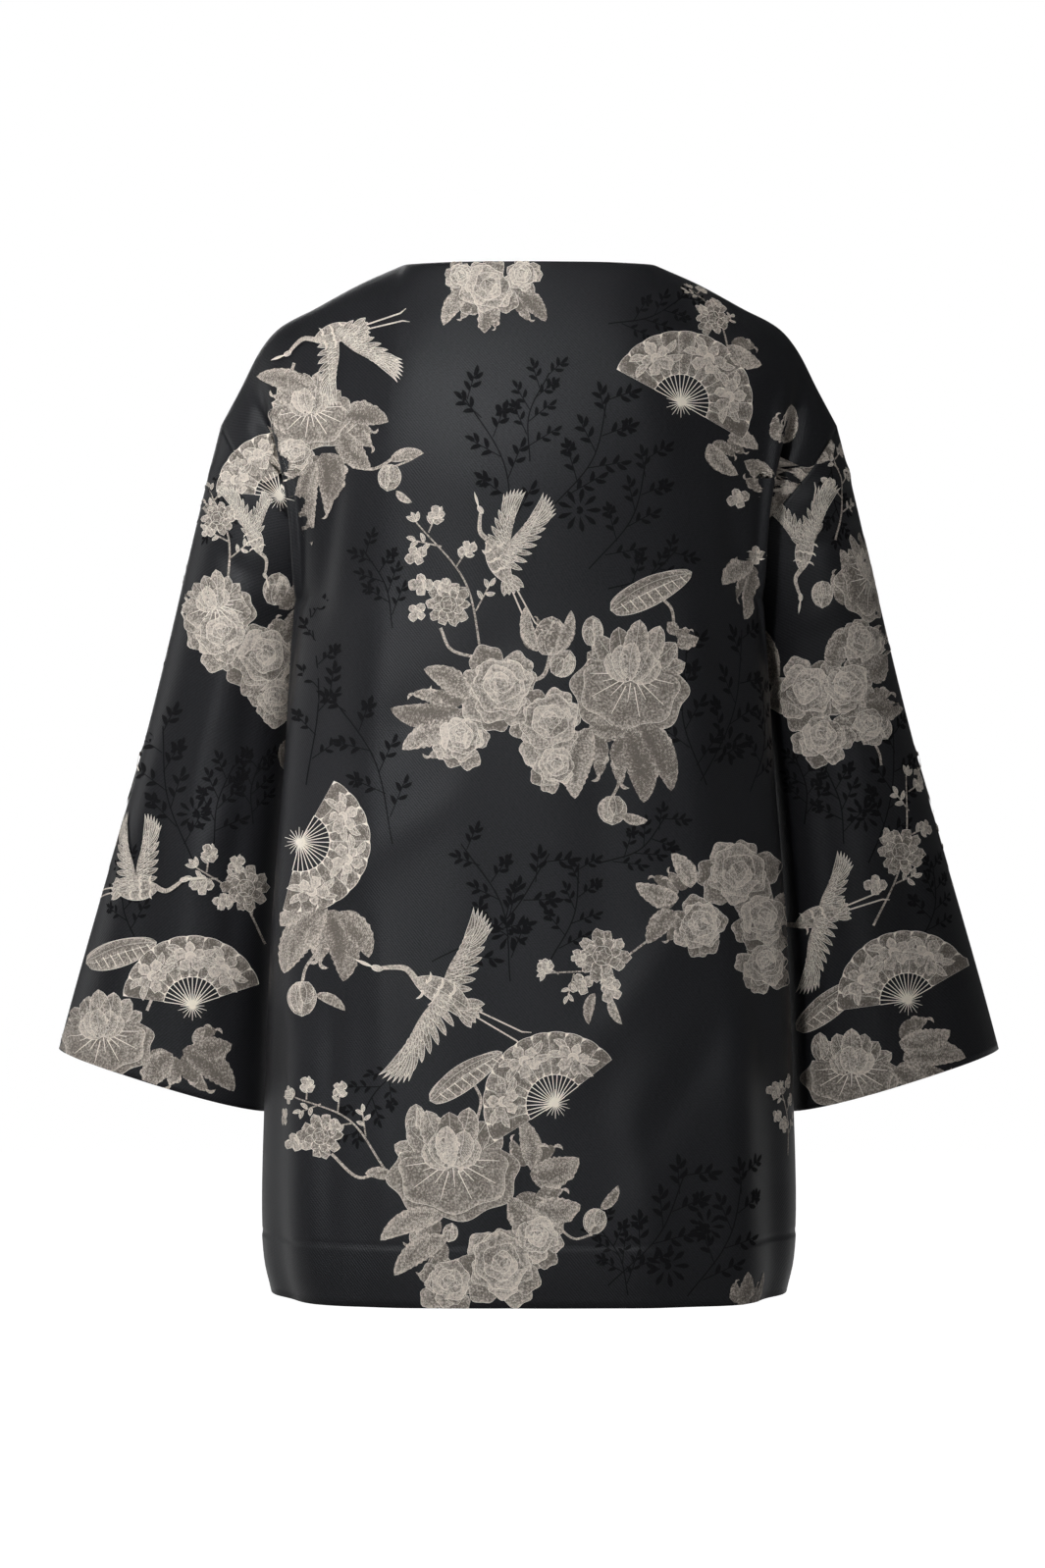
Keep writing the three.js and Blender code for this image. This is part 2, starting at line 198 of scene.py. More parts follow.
def tuck(edge, z):
    """Inward tuck of the side under the arm; edge is 1 on the side seam and 0 at the panel's middle."""
    across = ease(0.73, 0.82, edge) * (1 - 0.6 * clamp((edge - 0.85) / 0.15) ** 2.5)
    return SIDE_TUCK * across * ease(-0.12, UNDERARM_Z, z) * (1 - ease(UNDERARM_Z, -0.56, z))


def upper(top, foot, edge, level, side):
    """Upper part of a panel: its top line (level 0) eased down to the torso at the underarm (level 1)."""
    turn = np.pi * level
    arm = ease(0.55, 1, edge)
    drop = mix(level**1.3, (1 - np.cos(turn)) / 2, ease(0.2, 1, edge))
    depth = clamp(-drop * UNDERARM_Z / SHOULDER_ROUNDING)
    rounded = (1 - (1 - depth) ** 2) ** mix(1, 0.5, ease(0.08, 0.32, edge))
    bow = ARMHOLE_BOW[side] * np.sin(np.pi * level**1.4) ** 4
    x = mix(top[..., 0], foot[..., 0], drop) - bow * arm
    y = mix(top[..., 1], foot[..., 1], mix(rounded, drop, arm)) + side * ARMHOLE_DEPTH * np.sin(turn) * arm
    return np.stack([x, y, mix(top[..., 2], foot[..., 2], drop)], -1)


def levels_of(rows):
    """Level in the upper part (0 to 1) and height of the lower part for row places from 0 to 2."""
    return np.minimum(rows, 1.0), mix(UNDERARM_Z, HEM_Z, clamp(rows - 1))


def back_points(rows, across):
    """Back panel for row places 0 to 2 and places across from -1 to 1, folded under each arm."""
    rows, across = np.broadcast_arrays(rows, across)
    q = np.abs(across)
    level, z = levels_of(rows)
    fold_at = mix(0.68, 0.73, level**3)
    s = np.where(q < FOLD_COLUMN, q / FOLD_COLUMN * fold_at, mix(fold_at, 1, (q - FOLD_COLUMN) / (1 - FOLD_COLUMN)))
    lower = rows > 1
    point = torso(s * SIDE_SEAM_ANGLE, z, fold_height(BACK_FOLDS, q, z / MM) * lower)
    neck_x = NECK_HALF * clamp(q / NECK_COLUMN)
    arc = np.sqrt(clamp(1 - (neck_x / NECK_HALF) ** 2))
    neck = np.stack([neck_x, mix(SHOULDER["y"][0] * MM, NECK_BACK_Y, arc), -NECK_BACK_DIP * arc], -1)
    ridge = shoulder(clamp((q - NECK_COLUMN) / (1 - NECK_COLUMN)) ** (1 / 0.92))
    top = np.where((q < NECK_COLUMN)[..., None], neck, ridge)
    high = upper(top, point, s, level, -1)
    high[..., 1] -= fold_height(BACK_FOLDS, q, high[..., 2] / MM) * ease(0.2, 0.5, level) * (1 - ease(0.8, 1, q))
    point = np.where(lower[..., None], point, high)
    opened = ease(0.15, 0.5, level) * (1 - ease(0.238, 0.368, -point[..., 2])) * (1 - ease(0.93, 1, q))
    crest = opened * hump(q - FOLD_COLUMN, FOLD_RIDGE.width)
    trough = opened * (1 - ease(0.45, 0.75, level)) * hump(q - FOLD_COLUMN - FOLD_TROUGH.shift, FOLD_TROUGH.width)
    point[..., 0] += FOLD_RIDGE.out * crest - FOLD_TROUGH.out * trough - tuck(s, point[..., 2])
    point[..., 1] += FOLD_TROUGH.rear * trough - FOLD_RIDGE.rear * crest
    point[..., 0] *= np.where(across < 0, -1, 1)
    return point


def front_points(rows, across):
    """Right front for row places 0 to 2, across from the side and armhole (0) to the front edge (1)."""
    rows, r = np.broadcast_arrays(rows, across)
    level, z = levels_of(rows)
    edge_angle = np.pi - np.arcsin(read(FRONT_GAP, "z", "half", z / MM) / read(TORSO, "z", "half", z / MM))
    lower = rows > 1
    fold = fold_height(FRONT_FOLDS, r, z / MM) * (1 - ease(0.9, 1, r)) * lower
    foot = torso(mix(SIDE_SEAM_ANGLE, edge_angle, r), z, fold)
    point = np.where(lower[..., None], foot, upper(shoulder(1 - r), foot, 1 - r, level, 1))
    point[..., 0] -= tuck(1 - r, point[..., 2])
    return point


def sleeve_ring(share, turn, lift=0.0):
    """Ring of the sleeve between its outer and inner edge lines, an ellipse that widens toward the cuff."""
    size = bpy.context.scene.jacket_sizes
    kink, underarm = armhole(np.array([0.0, 1.0]), -1)
    hollow = np.sin(np.pi * share)
    outer = [mix(kink[0], size.cuff_outer_x, share) - OUTER_HOLLOW * hollow**2, mix(kink[2], size.cuff_outer_z, share)]
    inner = [
        mix(underarm[0], size.cuff_inner_x, share) + INNER_SPREAD * np.sqrt(share) * (1 - share),
        mix(underarm[2], size.cuff_inner_z, share),
    ]
    half = np.hypot(outer[0] - inner[0], outer[1] - inner[1]) / 2
    reach = ((1 + lift / half) * np.cos(turn) + 1) / 2
    middle = (kink[1] + underarm[1]) / 2
    y = mix(middle, size.cuff_y, share) - (underarm[1] - kink[1]) / 2 * np.cos(turn) * (1 - share)
    depth = mix(ARMHOLE_DEPTH, size.cuff_depth / 2, share) + lift
    return np.stack(
        [mix(inner[0], outer[0], reach), y + depth * np.sin(turn), mix(inner[1], outer[1], reach)], -1
    )


def armhole(level, side):
    """Armhole seam from the shoulder line (level 0) to the underarm (1), behind (-1) or in front (1)."""
    return back_points(level, 1.0) if side < 0 else front_points(level, 0.0)


def sleeve_points(share, around):
    """Right sleeve, share 0 to 1 down its length; around 0 to 1 from the outer edge over the front."""
    share, around = np.broadcast_arrays(share, around)
    turn = 2 * np.pi * around
    level = 1 - np.abs(1 - 2 * around)
    start = np.where((around < 0.5)[..., None], armhole(level, 1), armhole(level, -1))
    fold = fold_height(SLEEVE_FOLDS, around, share)
    carried = (start - sleeve_ring(np.zeros_like(share), turn)) * ((1 - clamp(share / 0.16)) ** 2)[..., None]
    return sleeve_ring(share, turn, fold) + carried


# The view that the brocade is laid out in: level with the jacket, straight from behind or in front.
VIEW_DISTANCE = 3.0
VIEW_X = -4.55 * MM
VIEW_Z = -367.5 * MM
UNIT_MM = 0.7
UNIT = UNIT_MM * MM  # one unit of the layout, on the plane of the shoulder line
LAYOUT_X = 539.0  # layout place of the origin
LAYOUT_Y = 274.0
LAYOUT_HEM = 1310  # motifs that a shift carries past this row
LAYOUT_WRAP = 1000  # go up by this much
LEFT_SHIFT = (-258, 430)  # across and down, from the right front's layout to the left one's
FRAME_HEIGHT = 1598 * UNIT  # what the camera sees on that plane
SENSOR = 36.0

FLOOR_Z = -1.42
FLOOR_REACH = 9.0
FLOOR_STEPS = 6
WORLD_LIGHT = 0.05  # strength of the white surroundings as light; the camera sees them at full strength


class View(namedtuple("View", "toward across")):
    """Side that a layout is seen from: the way that the cloth faces there, and the layout's own across."""

    def seen(self, points):
        """Layout places at which points are seen."""
        scale = VIEW_DISTANCE / (VIEW_DISTANCE - points @ np.array(self.toward))
        x = VIEW_X + (points @ np.array(self.across) - VIEW_X) * scale
        z = VIEW_Z + (points[..., 2] - VIEW_Z) * scale
        return np.stack([LAYOUT_X + x / UNIT, LAYOUT_Y - z / UNIT], -1)


BEHIND = View((0.0, -1.0, 0.0), (1.0, 0.0, 0.0))
AHEAD = View((0.0, 1.0, 0.0), (1.0, 0.0, 0.0))
RIGHT = View((1.0, 0.0, 0.0), (0.0, 1.0, 0.0))
LEFT = View((-1.0, 0.0, 0.0), (0.0, 1.0, 0.0))


Crease = namedtuple("Crease", "x0 y0 x1 y1 width height")  # layout ends, half width and height in mm


class Cloth:
    """A panel as a grid of points with outward directions and its flat measure along the cloth."""

    LAP = 8  # columns of a closed grid that are carried on past its join
    ROUGH_STEP = 3  # the rough search takes one row and column in so many
    MARGIN = 30  # layout units searched round a motif
    BATCH = 2000  # places searched at a time
    NEWTON_STEPS = 8
    LONGEST_MOVE = 3  # grid steps in one Newton step
    NEAR_ENOUGH = 1.5  # layout units off at which a place counts as found
    IN_SIGHT = 0.05  # least cosine between cloth and view where cloth can be seen
    SQUARE_ON = 0.42  # and where a motif is laid down as it is seen
    WRAP_REACH = 0.15  # metres round its middle that any other motif may cover

    def __init__(self, points, closed=False, flip=False):
        self.points = points
        self.closed = closed
        self.flip = flip
        self.measure()

    def measure(self):
        """Outward directions, the cross product of the two grid directions, and distances along the cloth."""
        p = self.points
        down = np.gradient(p, axis=0)
        if self.closed:
            around = np.concatenate([p[:, -2:-1], p, p[:, 1:2]], 1)
            across = (around[:, 2:] - around[:, :-2]) / 2
        else:
            across = np.gradient(p, axis=1)
        normal = np.cross(down, across)
        normal /= np.maximum(np.linalg.norm(normal, axis=-1, keepdims=True), 1e-12)
        self.normals = -normal if self.flip else normal
        steps = np.linalg.norm(np.diff(p, axis=1), axis=-1)
        u = np.concatenate([np.zeros((len(p), 1)), np.cumsum(steps, 1)], 1)
        u -= u[:, u.shape[1] // 2 : u.shape[1] // 2 + 1]
        v = np.concatenate([[0], np.cumsum(np.linalg.norm(np.diff(p, axis=0), axis=-1).mean(1))])
        self.flat = np.stack([u, np.broadcast_to(v[:, None], u.shape)], -1)

    def crease(self, creases, view):
        """Adds creases: bells across straight lines of the layout that fade toward both ends."""
        seen = view.seen(self.points)
        facing = ease(0.0, 0.35, self.normals @ np.array(view.toward))
        lift = np.zeros(seen.shape[:2])
        for c in creases:
            start, run = np.array([c.x0, c.y0]), np.array([c.x1 - c.x0, c.y1 - c.y0])
            length = np.hypot(*run)
            along = ((seen - start) @ run) / length**2
            aside = ((seen - start) @ np.array([-run[1], run[0]])) / length * UNIT
            ends = ease(-0.15, 0.3, along) * (1 - ease(0.7, 1.15, along))
            lift += c.height * MM * hump(aside, c.width * MM) * ends
        self.points = self.points + self.normals * (lift * facing)[..., None]
        self.measure()

    def mirrored(self):
        """The same panel on the other side of the body."""
        return Cloth(self.points * np.array([-1, 1, 1]), self.closed, not self.flip)

    def shell_mesh(self, name, wall, extra):
        """Closed shell: the grid moved half a wall inward and outward, joined by rims along its edges."""
        rows, columns = self.points.shape[:2]
        if self.closed:
            columns -= 1
        middle, out = self.points[:, :columns], self.normals[:, :columns]
        outer = middle + out * (wall / 2 + extra[:, :columns])[..., None]
        inner = middle - out * wall / 2
        verts = np.concatenate([outer.reshape(-1, 3), inner.reshape(-1, 3)])
        cells = columns if self.closed else columns - 1
        i, j = np.meshgrid(np.arange(rows - 1), np.arange(cells), indexing="ij")
        faces_out = np.stack([i, j, i + 1, j, i + 1, j + 1, i, j + 1], -1).reshape(-1, 4, 2)
        faces_in = faces_out[:, ::-1]
        shift = rows * columns

        def index(cells_ij, inside):
            return cells_ij[..., 0] * columns + cells_ij[..., 1] % columns + inside * shift

        quads = [index(faces_out, 0), index(faces_in, 1)]
        places = [faces_out, faces_in]
        j = np.arange(cells)
        i = np.arange(rows - 1)
        edges = [
            (np.stack([0 * j, j], -1), np.stack([0 * j, j + 1], -1)),
            (np.stack([0 * j + rows - 1, j + 1], -1), np.stack([0 * j + rows - 1, j], -1)),
        ]
        if not self.closed:
            edges += [
                (np.stack([i + 1, 0 * i], -1), np.stack([i, 0 * i], -1)),
                (np.stack([i, 0 * i + cells], -1), np.stack([i + 1, 0 * i + cells], -1)),
            ]
        for a, b in edges:
            place = np.stack([a, b, b, a], 1)
            quads.append(np.stack([index(a, 1), index(b, 1), index(b, 0), index(a, 0)], 1)[:, ::-1])
            places.append(place[:, ::-1])
        quads, places = np.concatenate(quads), np.concatenate(places)
        if self.flip:
            quads, places = quads[:, ::-1], places[:, ::-1]
        mesh = bpy.data.meshes.new(name)
        mesh.from_pydata(verts.tolist(), [], quads.tolist())
        uv = self.flat[places[..., 0], places[..., 1]]
        mesh.uv_layers.new(name="flat").data.foreach_set("uv", uv.reshape(-1))
        mesh.shade_smooth()
        return mesh

    def wide(self, values):
        """Values of the grid, carried on past the join of a closed one."""
        if not self.closed:
            return values
        return np.concatenate([values[:, -1 - self.LAP : -1], values, values[:, 1 : 1 + self.LAP]], 1)

    def solve(self, seen, allowed, places):
        """Grid place of each layout place: the nearest allowed grid point, then Newton steps on the cells."""
        rows, columns = seen.shape[:2]
        step, most = self.ROUGH_STEP, self.LONGEST_MOVE
        rough = seen[::step, ::step]
        inside = ((rough > places.min(0) - self.MARGIN) & (rough < places.max(0) + self.MARGIN)).all(-1)
        pick = np.argwhere(allowed[::step, ::step] & inside)
        if not len(pick):
            return np.zeros(places.shape), np.zeros(len(places), bool)
        known = rough[pick[:, 0], pick[:, 1]]
        place = np.empty(places.shape)
        for k in range(0, len(places), self.BATCH):
            far = ((places[k : k + self.BATCH, None] - known[None]) ** 2).sum(-1)
            place[k : k + self.BATCH] = pick[far.argmin(1)] * step
        for _ in range(self.NEWTON_STEPS):
            i0 = np.clip(np.floor(place[:, 0]), 0, rows - 2).astype(int)
            j0 = np.clip(np.floor(place[:, 1]), 0, columns - 2).astype(int)
            f, g = (place[:, 0] - i0)[:, None], (place[:, 1] - j0)[:, None]
            a, b, c, d = seen[i0, j0], seen[i0, j0 + 1], seen[i0 + 1, j0], seen[i0 + 1, j0 + 1]
            off = places - (a * (1 - f) * (1 - g) + b * (1 - f) * g + c * f * (1 - g) + d * f * g)
            di, dj = (c - a) * (1 - g) + (d - b) * g, (b - a) * (1 - f) + (d - c) * f
            det = di[:, 0] * dj[:, 1] - di[:, 1] * dj[:, 0]
            det = np.where(np.abs(det) < 1e-6, 1e-6, det)
            move_i = (off[:, 0] * dj[:, 1] - off[:, 1] * dj[:, 0]) / det
            move_j = (di[:, 0] * off[:, 1] - di[:, 1] * off[:, 0]) / det
            place[:, 0] = np.clip(place[:, 0] + np.clip(move_i, -most, most), 0, rows - 1)
            place[:, 1] = np.clip(place[:, 1] + np.clip(move_j, -most, most), 0, columns - 1)
        return place, np.hypot(off[:, 0], off[:, 1]) < self.NEAR_ENOUGH

    @staticmethod
    def sample(values, place):
        """Value of a grid at fractional places: straight blends along both sides of a cell."""
        rows, columns = values.shape[:2]
        i0 = np.clip(np.floor(place[:, 0]), 0, rows - 2).astype(int)
        j0 = np.clip(np.floor(place[:, 1]), 0, columns - 2).astype(int)
        f, g = (place[:, 0] - i0)[:, None], (place[:, 1] - j0)[:, None]
        top = values[i0, j0] * (1 - g) + values[i0, j0 + 1] * g
        return top * (1 - f) + (values[i0 + 1, j0] * (1 - g) + values[i0 + 1, j0 + 1] * g) * f

    def lay_down(self, places, view):
        """Points and outward directions of a motif on the cloth: as seen from its side where the cloth faces it,
        else laid round its middle at true size. Also which of its points were found on the cloth."""
        points, normals = self.wide(self.points), self.wide(self.normals)
        facing = normals @ np.array(view.toward)
        seen = view.seen(points)
        place, found = self.solve(seen, facing > self.IN_SIGHT, places)
        if np.percentile(self.sample(facing, place), 15) < self.SQUARE_ON:
            start, _ = self.solve(seen, facing > self.IN_SIGHT, places.mean(0)[None])
            centre, out = self.sample(points, start)[0], self.sample(normals, start)[0]
            out /= np.linalg.norm(out)
            across = np.array(view.across) - (view.across @ out) * out
            across /= np.linalg.norm(across)
            down = np.cross(across, out)
            down *= -np.sign(down[2])
            unit = UNIT * (VIEW_DISTANCE - centre @ view.toward) / VIEW_DISTANCE
            run = points - centre
            near = (np.linalg.norm(run, axis=-1) < self.WRAP_REACH) & (normals @ out > 0.1)
            laid = view.seen(centre) + np.stack([run @ across, run @ down], -1) / unit
            place, found = self.solve(laid, near, places)
        out = self.sample(normals, place)
        return self.sample(points, place), out / np.linalg.norm(out, axis=-1, keepdims=True), found

    def soften(self, passes, share):
        """Evens out the depth across the columns, by the given share at each point."""
        y = self.points[..., 1].copy()
        for _ in range(passes):
            y[:, 1:-1] = (y[:, :-2] + 2 * y[:, 1:-1] + y[:, 2:]) / 4
        self.points = self.points.copy()
        self.points[..., 1] = mix(self.points[..., 1], y, share)
        self.measure()


class Brocade:
    """Collects woven shapes in layout units. Each point keeps its distance to the shape's edge and to its
    midline and its place along it, in mm, and a tone from 0, dark, to 1, pale."""

    FINENESS = 3.2  # layout units between grid lines
    ALL_THREAD = 0.94  # ribbons paler than this are outline thread from edge to edge
    CLEAR = 1.2  # keeps the outline thread off all other ribbons

    def __init__(self):
        self.places, self.threads, self.rises, self.quads = [], [], [], []
        self.count = 0
        self.rise = 0.0

    def lay(self, places, edge, along, midline, tone):
        """Adds one shape, given as a grid of places and the measures of its points."""
        rows, columns = places.shape[:2]
        i, j = np.meshgrid(np.arange(rows - 1), np.arange(columns - 1), indexing="ij")
        k = self.count + i * columns + j
        self.quads.append(np.stack([k, k + columns, k + columns + 1, k + 1], -1).reshape(-1, 4))
        self.places.append(places.reshape(-1, 2))
        measures = [edge * UNIT_MM, along * UNIT_MM, tone + 0 * edge, midline * UNIT_MM]
        self.threads.append(np.stack([np.broadcast_to(m, (rows, columns)) for m in measures], -1).reshape(-1, 4))
        self.rises.append(np.full(rows * columns, self.rise))
        self.rise += 1
        self.count += rows * columns

    def blade(self, base, tip, width, bend=0.0, belly=1.0, blunt=0.7, tone=0.5, ripple=0.0, bare=False):
        """Petal, leaf or feather: a bent midline with a half width of a sine raised to a power. A bare one has
        no outline or rib."""
        base, tip = np.array(base, float), np.array(tip, float)
        run = tip - base
        length = np.hypot(*run)
        n = int(np.clip(length / self.FINENESS, 5, 26))
        m = 3 if width < 4 else 5 if width < 11 else 7
        t = np.linspace(0, 1, n + 1)[:, None]
        s = np.linspace(-1, 1, m)[None]
        side = np.array([-run[1], run[0]]) / length
        line = base + run * t[..., None] + side * (bend * length * 4 * t * (1 - t))[..., None]
        slope = run / length + side * (bend * 4 * (1 - 2 * t))[..., None]
        aside = np.stack([-slope[..., 1], slope[..., 0]], -1)
        aside /= np.linalg.norm(aside, axis=-1, keepdims=True)
        half = width * np.sin(np.pi * clamp(t**belly)) ** blunt * (1 + ripple * np.sin(t * length * 0.9))
        half = np.maximum(half, 0.05)
        clear = 2.0 if bare else 0.0
        edge, midline = half * (1 - np.abs(s)) + clear, np.abs(s) * half + clear
        self.lay(line + aside * (s * half)[..., None], edge, t * length, midline, tone)

    def shell(self, base, turn, length, half, tone=0.5, notch=0.05, phase=0.0, flat=1.0, waves=7.5):
        """Round petal: a wedge from its base whose outer edge is an arc with a few shallow notches."""
        n = int(np.clip(length / self.FINENESS, 3, 16))
        m = int(np.clip(length * np.radians(half) * 2 / self.FINENESS, 5, 61)) | 1
        t = np.linspace(0, 1, n + 1)[:, None]
        s = np.linspace(-1, 1, m)[None]
        reach = length * (1 - 0.34 * np.abs(s) ** 2.6 + notch * np.cos(waves * s + phase))
        a = np.radians(turn + half * s * (1 - 0.12 * t))
        radius = reach * t
        places = np.array(base, float) + np.stack([np.cos(a) * radius, -np.sin(a) * radius * flat], -1)
        across = radius * np.radians(half)
        edge = np.minimum(reach - radius, across * (1 - np.abs(s)) + 0.12 * length * (1 - t))
        self.lay(places, edge, radius, np.abs(s) * across + 0.5, tone)

    def crescent(self, pivot, radius, thick, start, end, tone=0.5, wave=0.04, phase=0.0):
        """Curled petal round a centre: thickest in its middle, with a rippled outer edge."""
        span = np.radians(abs(end - start)) * radius
        n = int(np.clip(span / self.FINENESS, 4, 24))
        m = 5
        s = np.linspace(-1, 1, n + 1)[:, None]
        t = np.linspace(0, 1, m)[None]
        a = np.radians(mix(start, end, (s + 1) / 2))
        outer = radius * (1 + wave * np.sin(5.0 * s + phase))
        deep = thick * np.sqrt(1 - 0.98 * s**2)
        places = np.array(pivot, float) + np.stack([np.cos(a), -np.sin(a)], -1) * (outer - deep * t)[..., None]
        self.lay(places, deep * np.minimum(t, 1 - t), (s + 1) * span / 2, deep * t + 1, tone)

    def ribbon(self, path, width, tone=0.9, taper=0.0):
        """Stem, leg or rib: a strip of even width, or tapering, along a smooth line through a few points."""
        path = np.array(path, float)
        lengths = np.append(0, np.cumsum(np.hypot(*np.diff(path, axis=0).T)))
        n = int(np.clip(lengths[-1] / self.FINENESS, 2, 60))
        table = {"at": lengths, "x": path[:, 0], "y": path[:, 1]}
        at = np.linspace(0, lengths[-1], n + 1)
        line = np.stack([read(table, "at", "x", at), read(table, "at", "y", at)], -1)
        slope = np.gradient(line, axis=0)
        aside = np.stack([-slope[:, 1], slope[:, 0]], -1) / np.hypot(*slope.T)[:, None]
        s = np.array([-1.0, 0.0, 1.0])[None]
        half = (width / 2 * (1 - taper * at / lengths[-1]))[:, None]
        places = line[:, None] + aside[:, None] * (s * half)[..., None]
        clear = 0.0 if tone > self.ALL_THREAD else self.CLEAR
        self.lay(places, half * (1 - np.abs(s)) * (clear > 0) + clear, at[:, None], np.abs(s) * half + 2, tone)

    def sector(self, pivot, inner, outer, start, end, tone, ripple=0.0):
        """Part of a ring between two turns in degrees, with an outer edge that may be rippled."""
        span = np.radians(abs(end - start)) * outer
        n = int(np.clip(span / self.FINENESS, 2, 40))
        m = int(np.clip((outer - inner) / self.FINENESS / 1.5, 2, 10))
        turn = np.radians(np.linspace(start, end, n + 1))[:, None]
        t = np.linspace(0, 1, m + 1)[None]
        edge_line = outer * (1 - ripple * np.linspace(-1, 1, n + 1)[:, None] ** 2)
        radius = inner + (edge_line - inner) * t
        places = np.array(pivot, float) + np.stack([np.cos(turn) * radius, -np.sin(turn) * radius], -1)
        along = np.abs(turn - turn[0]) * radius
        across = np.abs(turn[-1] - turn[0]) * radius
        edge = np.minimum(np.minimum(along, across - along) + 0.25, np.minimum(radius - inner, edge_line - radius))
        self.lay(places, edge, radius + 0 * turn, np.abs(along - across / 2) + 1, tone)


def polar(centre, radius, degrees):
    """Layout place at a distance and turn from a centre, with turns counted anticlockwise from the right."""
    turn = np.radians(degrees)
    return (centre[0] + radius * np.cos(turn), centre[1] - radius * np.sin(turn))


def bowed(start, end, bend):
    """Twig off a straight line by a parabola, as a function of the share along it, with its turn in degrees."""
    base, tip = np.array(start, float), np.array(end, float)
    run = tip - base
    side = np.array([-run[1], run[0]])

    def on(t):
        return base + run * t + side * bend * 4 * t * (1 - t)

    return on, np.degrees(np.arctan2(-run[1], run[0]))


def uneven(seed, k):
    """Uneven number from -1 to 1 that is the same on every run."""
    return np.sin(12.9898 * k + 0.731 * seed) * np.cos(4.137 * k - 0.377 * seed)


class Peony(namedtuple("Peony", "x y radius turn")):
    """Full round flower: two uneven rings of broad notched petals, then curled petals round an off-centre heart."""

    def draw(self, b):
        c, r, seed = (self.x, self.y), self.radius, self.x + self.y
        for k in range(7):
            a = self.turn + 360 / 7 * k + 14 * uneven(seed, k)
            reach = r * (1 + 0.12 * uneven(seed, k + 20))
            b.shell(polar(c, 0.05 * r, a + 90), a, reach, 37, 0.42 + 0.2 * uneven(seed, k + 40), 0.04, 3 * k)
        for k in range(5):
            a = self.turn + 22 + 72 * k + 16 * uneven(seed, k + 60)
            base, reach = polar(c, 0.12 * r, a + 150), r * (0.84 + 0.12 * uneven(seed, k + 80))
            b.shell(base, a, reach, 42, 0.56 + 0.2 * uneven(seed, k + 90), 0.05, 2 * k)
        heart = polar(c, 0.14 * r, self.turn + 60)
        rings = ((0.6, 0.34, 5, 100), (0.38, 0.25, 4, 120), (0.2, 0.17, 3, 150))
        for ring, (reach, thick, count, span) in enumerate(rings):
            for k in range(count):
                a = self.turn + 31 * ring + 360 / count * k + 20 * uneven(seed, k + 7 * ring)
                at = polar(heart, 0.07 * r, a + 120 * uneven(seed, k + ring))
                tone = 0.55 + 0.24 * uneven(seed, 3 * k + 11 * ring)
                out = reach * r * (1 + 0.08 * uneven(seed, k + 33))
                b.crescent(at, out, thick * r, a - span / 2, a + span / 2, tone, 0.07, 2 * k)


class Chrysanthemum(namedtuple("Chrysanthemum", "x y radius turn")):
    """Round flower of notched petals with a dark speckled heart."""

    def draw(self, b):
        c, r, seed = (self.x, self.y), self.radius, self.x - self.y
        for k in range(10):
            a = self.turn + 36 * k + 7 * uneven(seed, k)
            b.shell(c, a, r * (1 + 0.08 * uneven(seed, k + 9)), 24, 0.42 + 0.15 * uneven(seed, k + 30), 0.04, 4 * k)
        for k in range(8):
            a = self.turn + 15 + 45 * k
            b.shell(c, a, r * 0.72, 27, 0.3 + 0.12 * uneven(seed, k + 50), 0.05, 3 * k)
        for k in range(5):
            b.crescent(c, 0.38 * r, 0.2 * r, 72 * k, 72 * k + 80, 0.16, 0.05, k)


class Blossom(namedtuple("Blossom", "x y radius turn")):
    """Small half-open flower of four round petals."""

    def draw(self, b):
        c, r = (self.x, self.y), self.radius
        for k in range(4):
            b.shell(c, self.turn + 90 * k, r * (1 - 0.12 * (k % 2)), 48, 0.5 + 0.1 * (k % 2), 0.04, k)
        b.crescent(c, 0.45 * r, 0.3 * r, self.turn - 60, self.turn + 90, 0.72)


class Lotus(namedtuple("Lotus", "x y half height turn")):
    """Open lotus: upright pointed petals over a broad bowl with a scalloped rim and ribs from the heart."""

    def draw(self, b):
        up, r, seed = 90 + self.turn, self.half, self.x + self.y
        c = polar((self.x, self.y), 0.14 * self.height, up)
        for k, a in enumerate((-72, 70, -50, 46, -24, 22, 0)):
            reach = mix(0.8 * r, 0.5 * self.height, np.cos(np.radians(a))) * (1 + 0.1 * uneven(seed, k))
            tone = 0.42 + 0.2 * uneven(seed, k)
            low, high = polar(c, 0.08 * r, up - a), polar(c, reach, up - a)
            b.blade(low, high, 0.19 * r, 0.06 * np.sign(a), 0.95, 0.55, tone, 0.05)
        flat = clamp(0.54 * self.height / r)
        b.shell(c, up + 180, 1.08 * r, 118, 0.4, 0.045, seed, flat, 17)
        b.shell(c, up + 180, 0.94 * r, 110, 0.46, 0.05, seed + 1, flat, 14)
        for k, a in enumerate(np.linspace(-100, 100, 13)):
            turn, out = np.radians(up + 180 + a), (0.5 + 0.26 * (k % 2)) * r * (1 - 0.3 * abs(a / 112) ** 2.6)
            mid, end = [np.array(c) + q * out * np.array([np.cos(turn), -np.sin(turn) * flat]) for q in (0.3, 1.0)]
            b.ribbon([mid, end], 1.1, 0.98, 0.5)
        for k, a in enumerate((-58, 56, -30, 26, -4)):
            reach = mix(0.44 * r, 0.3 * self.height, np.cos(np.radians(a))) * (1 + 0.1 * uneven(seed, k + 30))
            low, high, tone = polar(c, 0.1 * r, up + 180), polar(c, reach, up - a), 0.62 + 0.2 * uneven(seed, k + 30)
            b.blade(low, high, 0.16 * r, 0.08 * np.sign(a), 1.1, 0.55, tone, 0.05)
        for k in range(6):
            at = polar(polar(c, 0.04 * self.height, up), 0.07 * r * (1 + k % 3), 60 * k)
            b.shell(at, 60 * k, 0.06 * r, 70, 0.15 + 0.6 * (k % 2), 0.0)


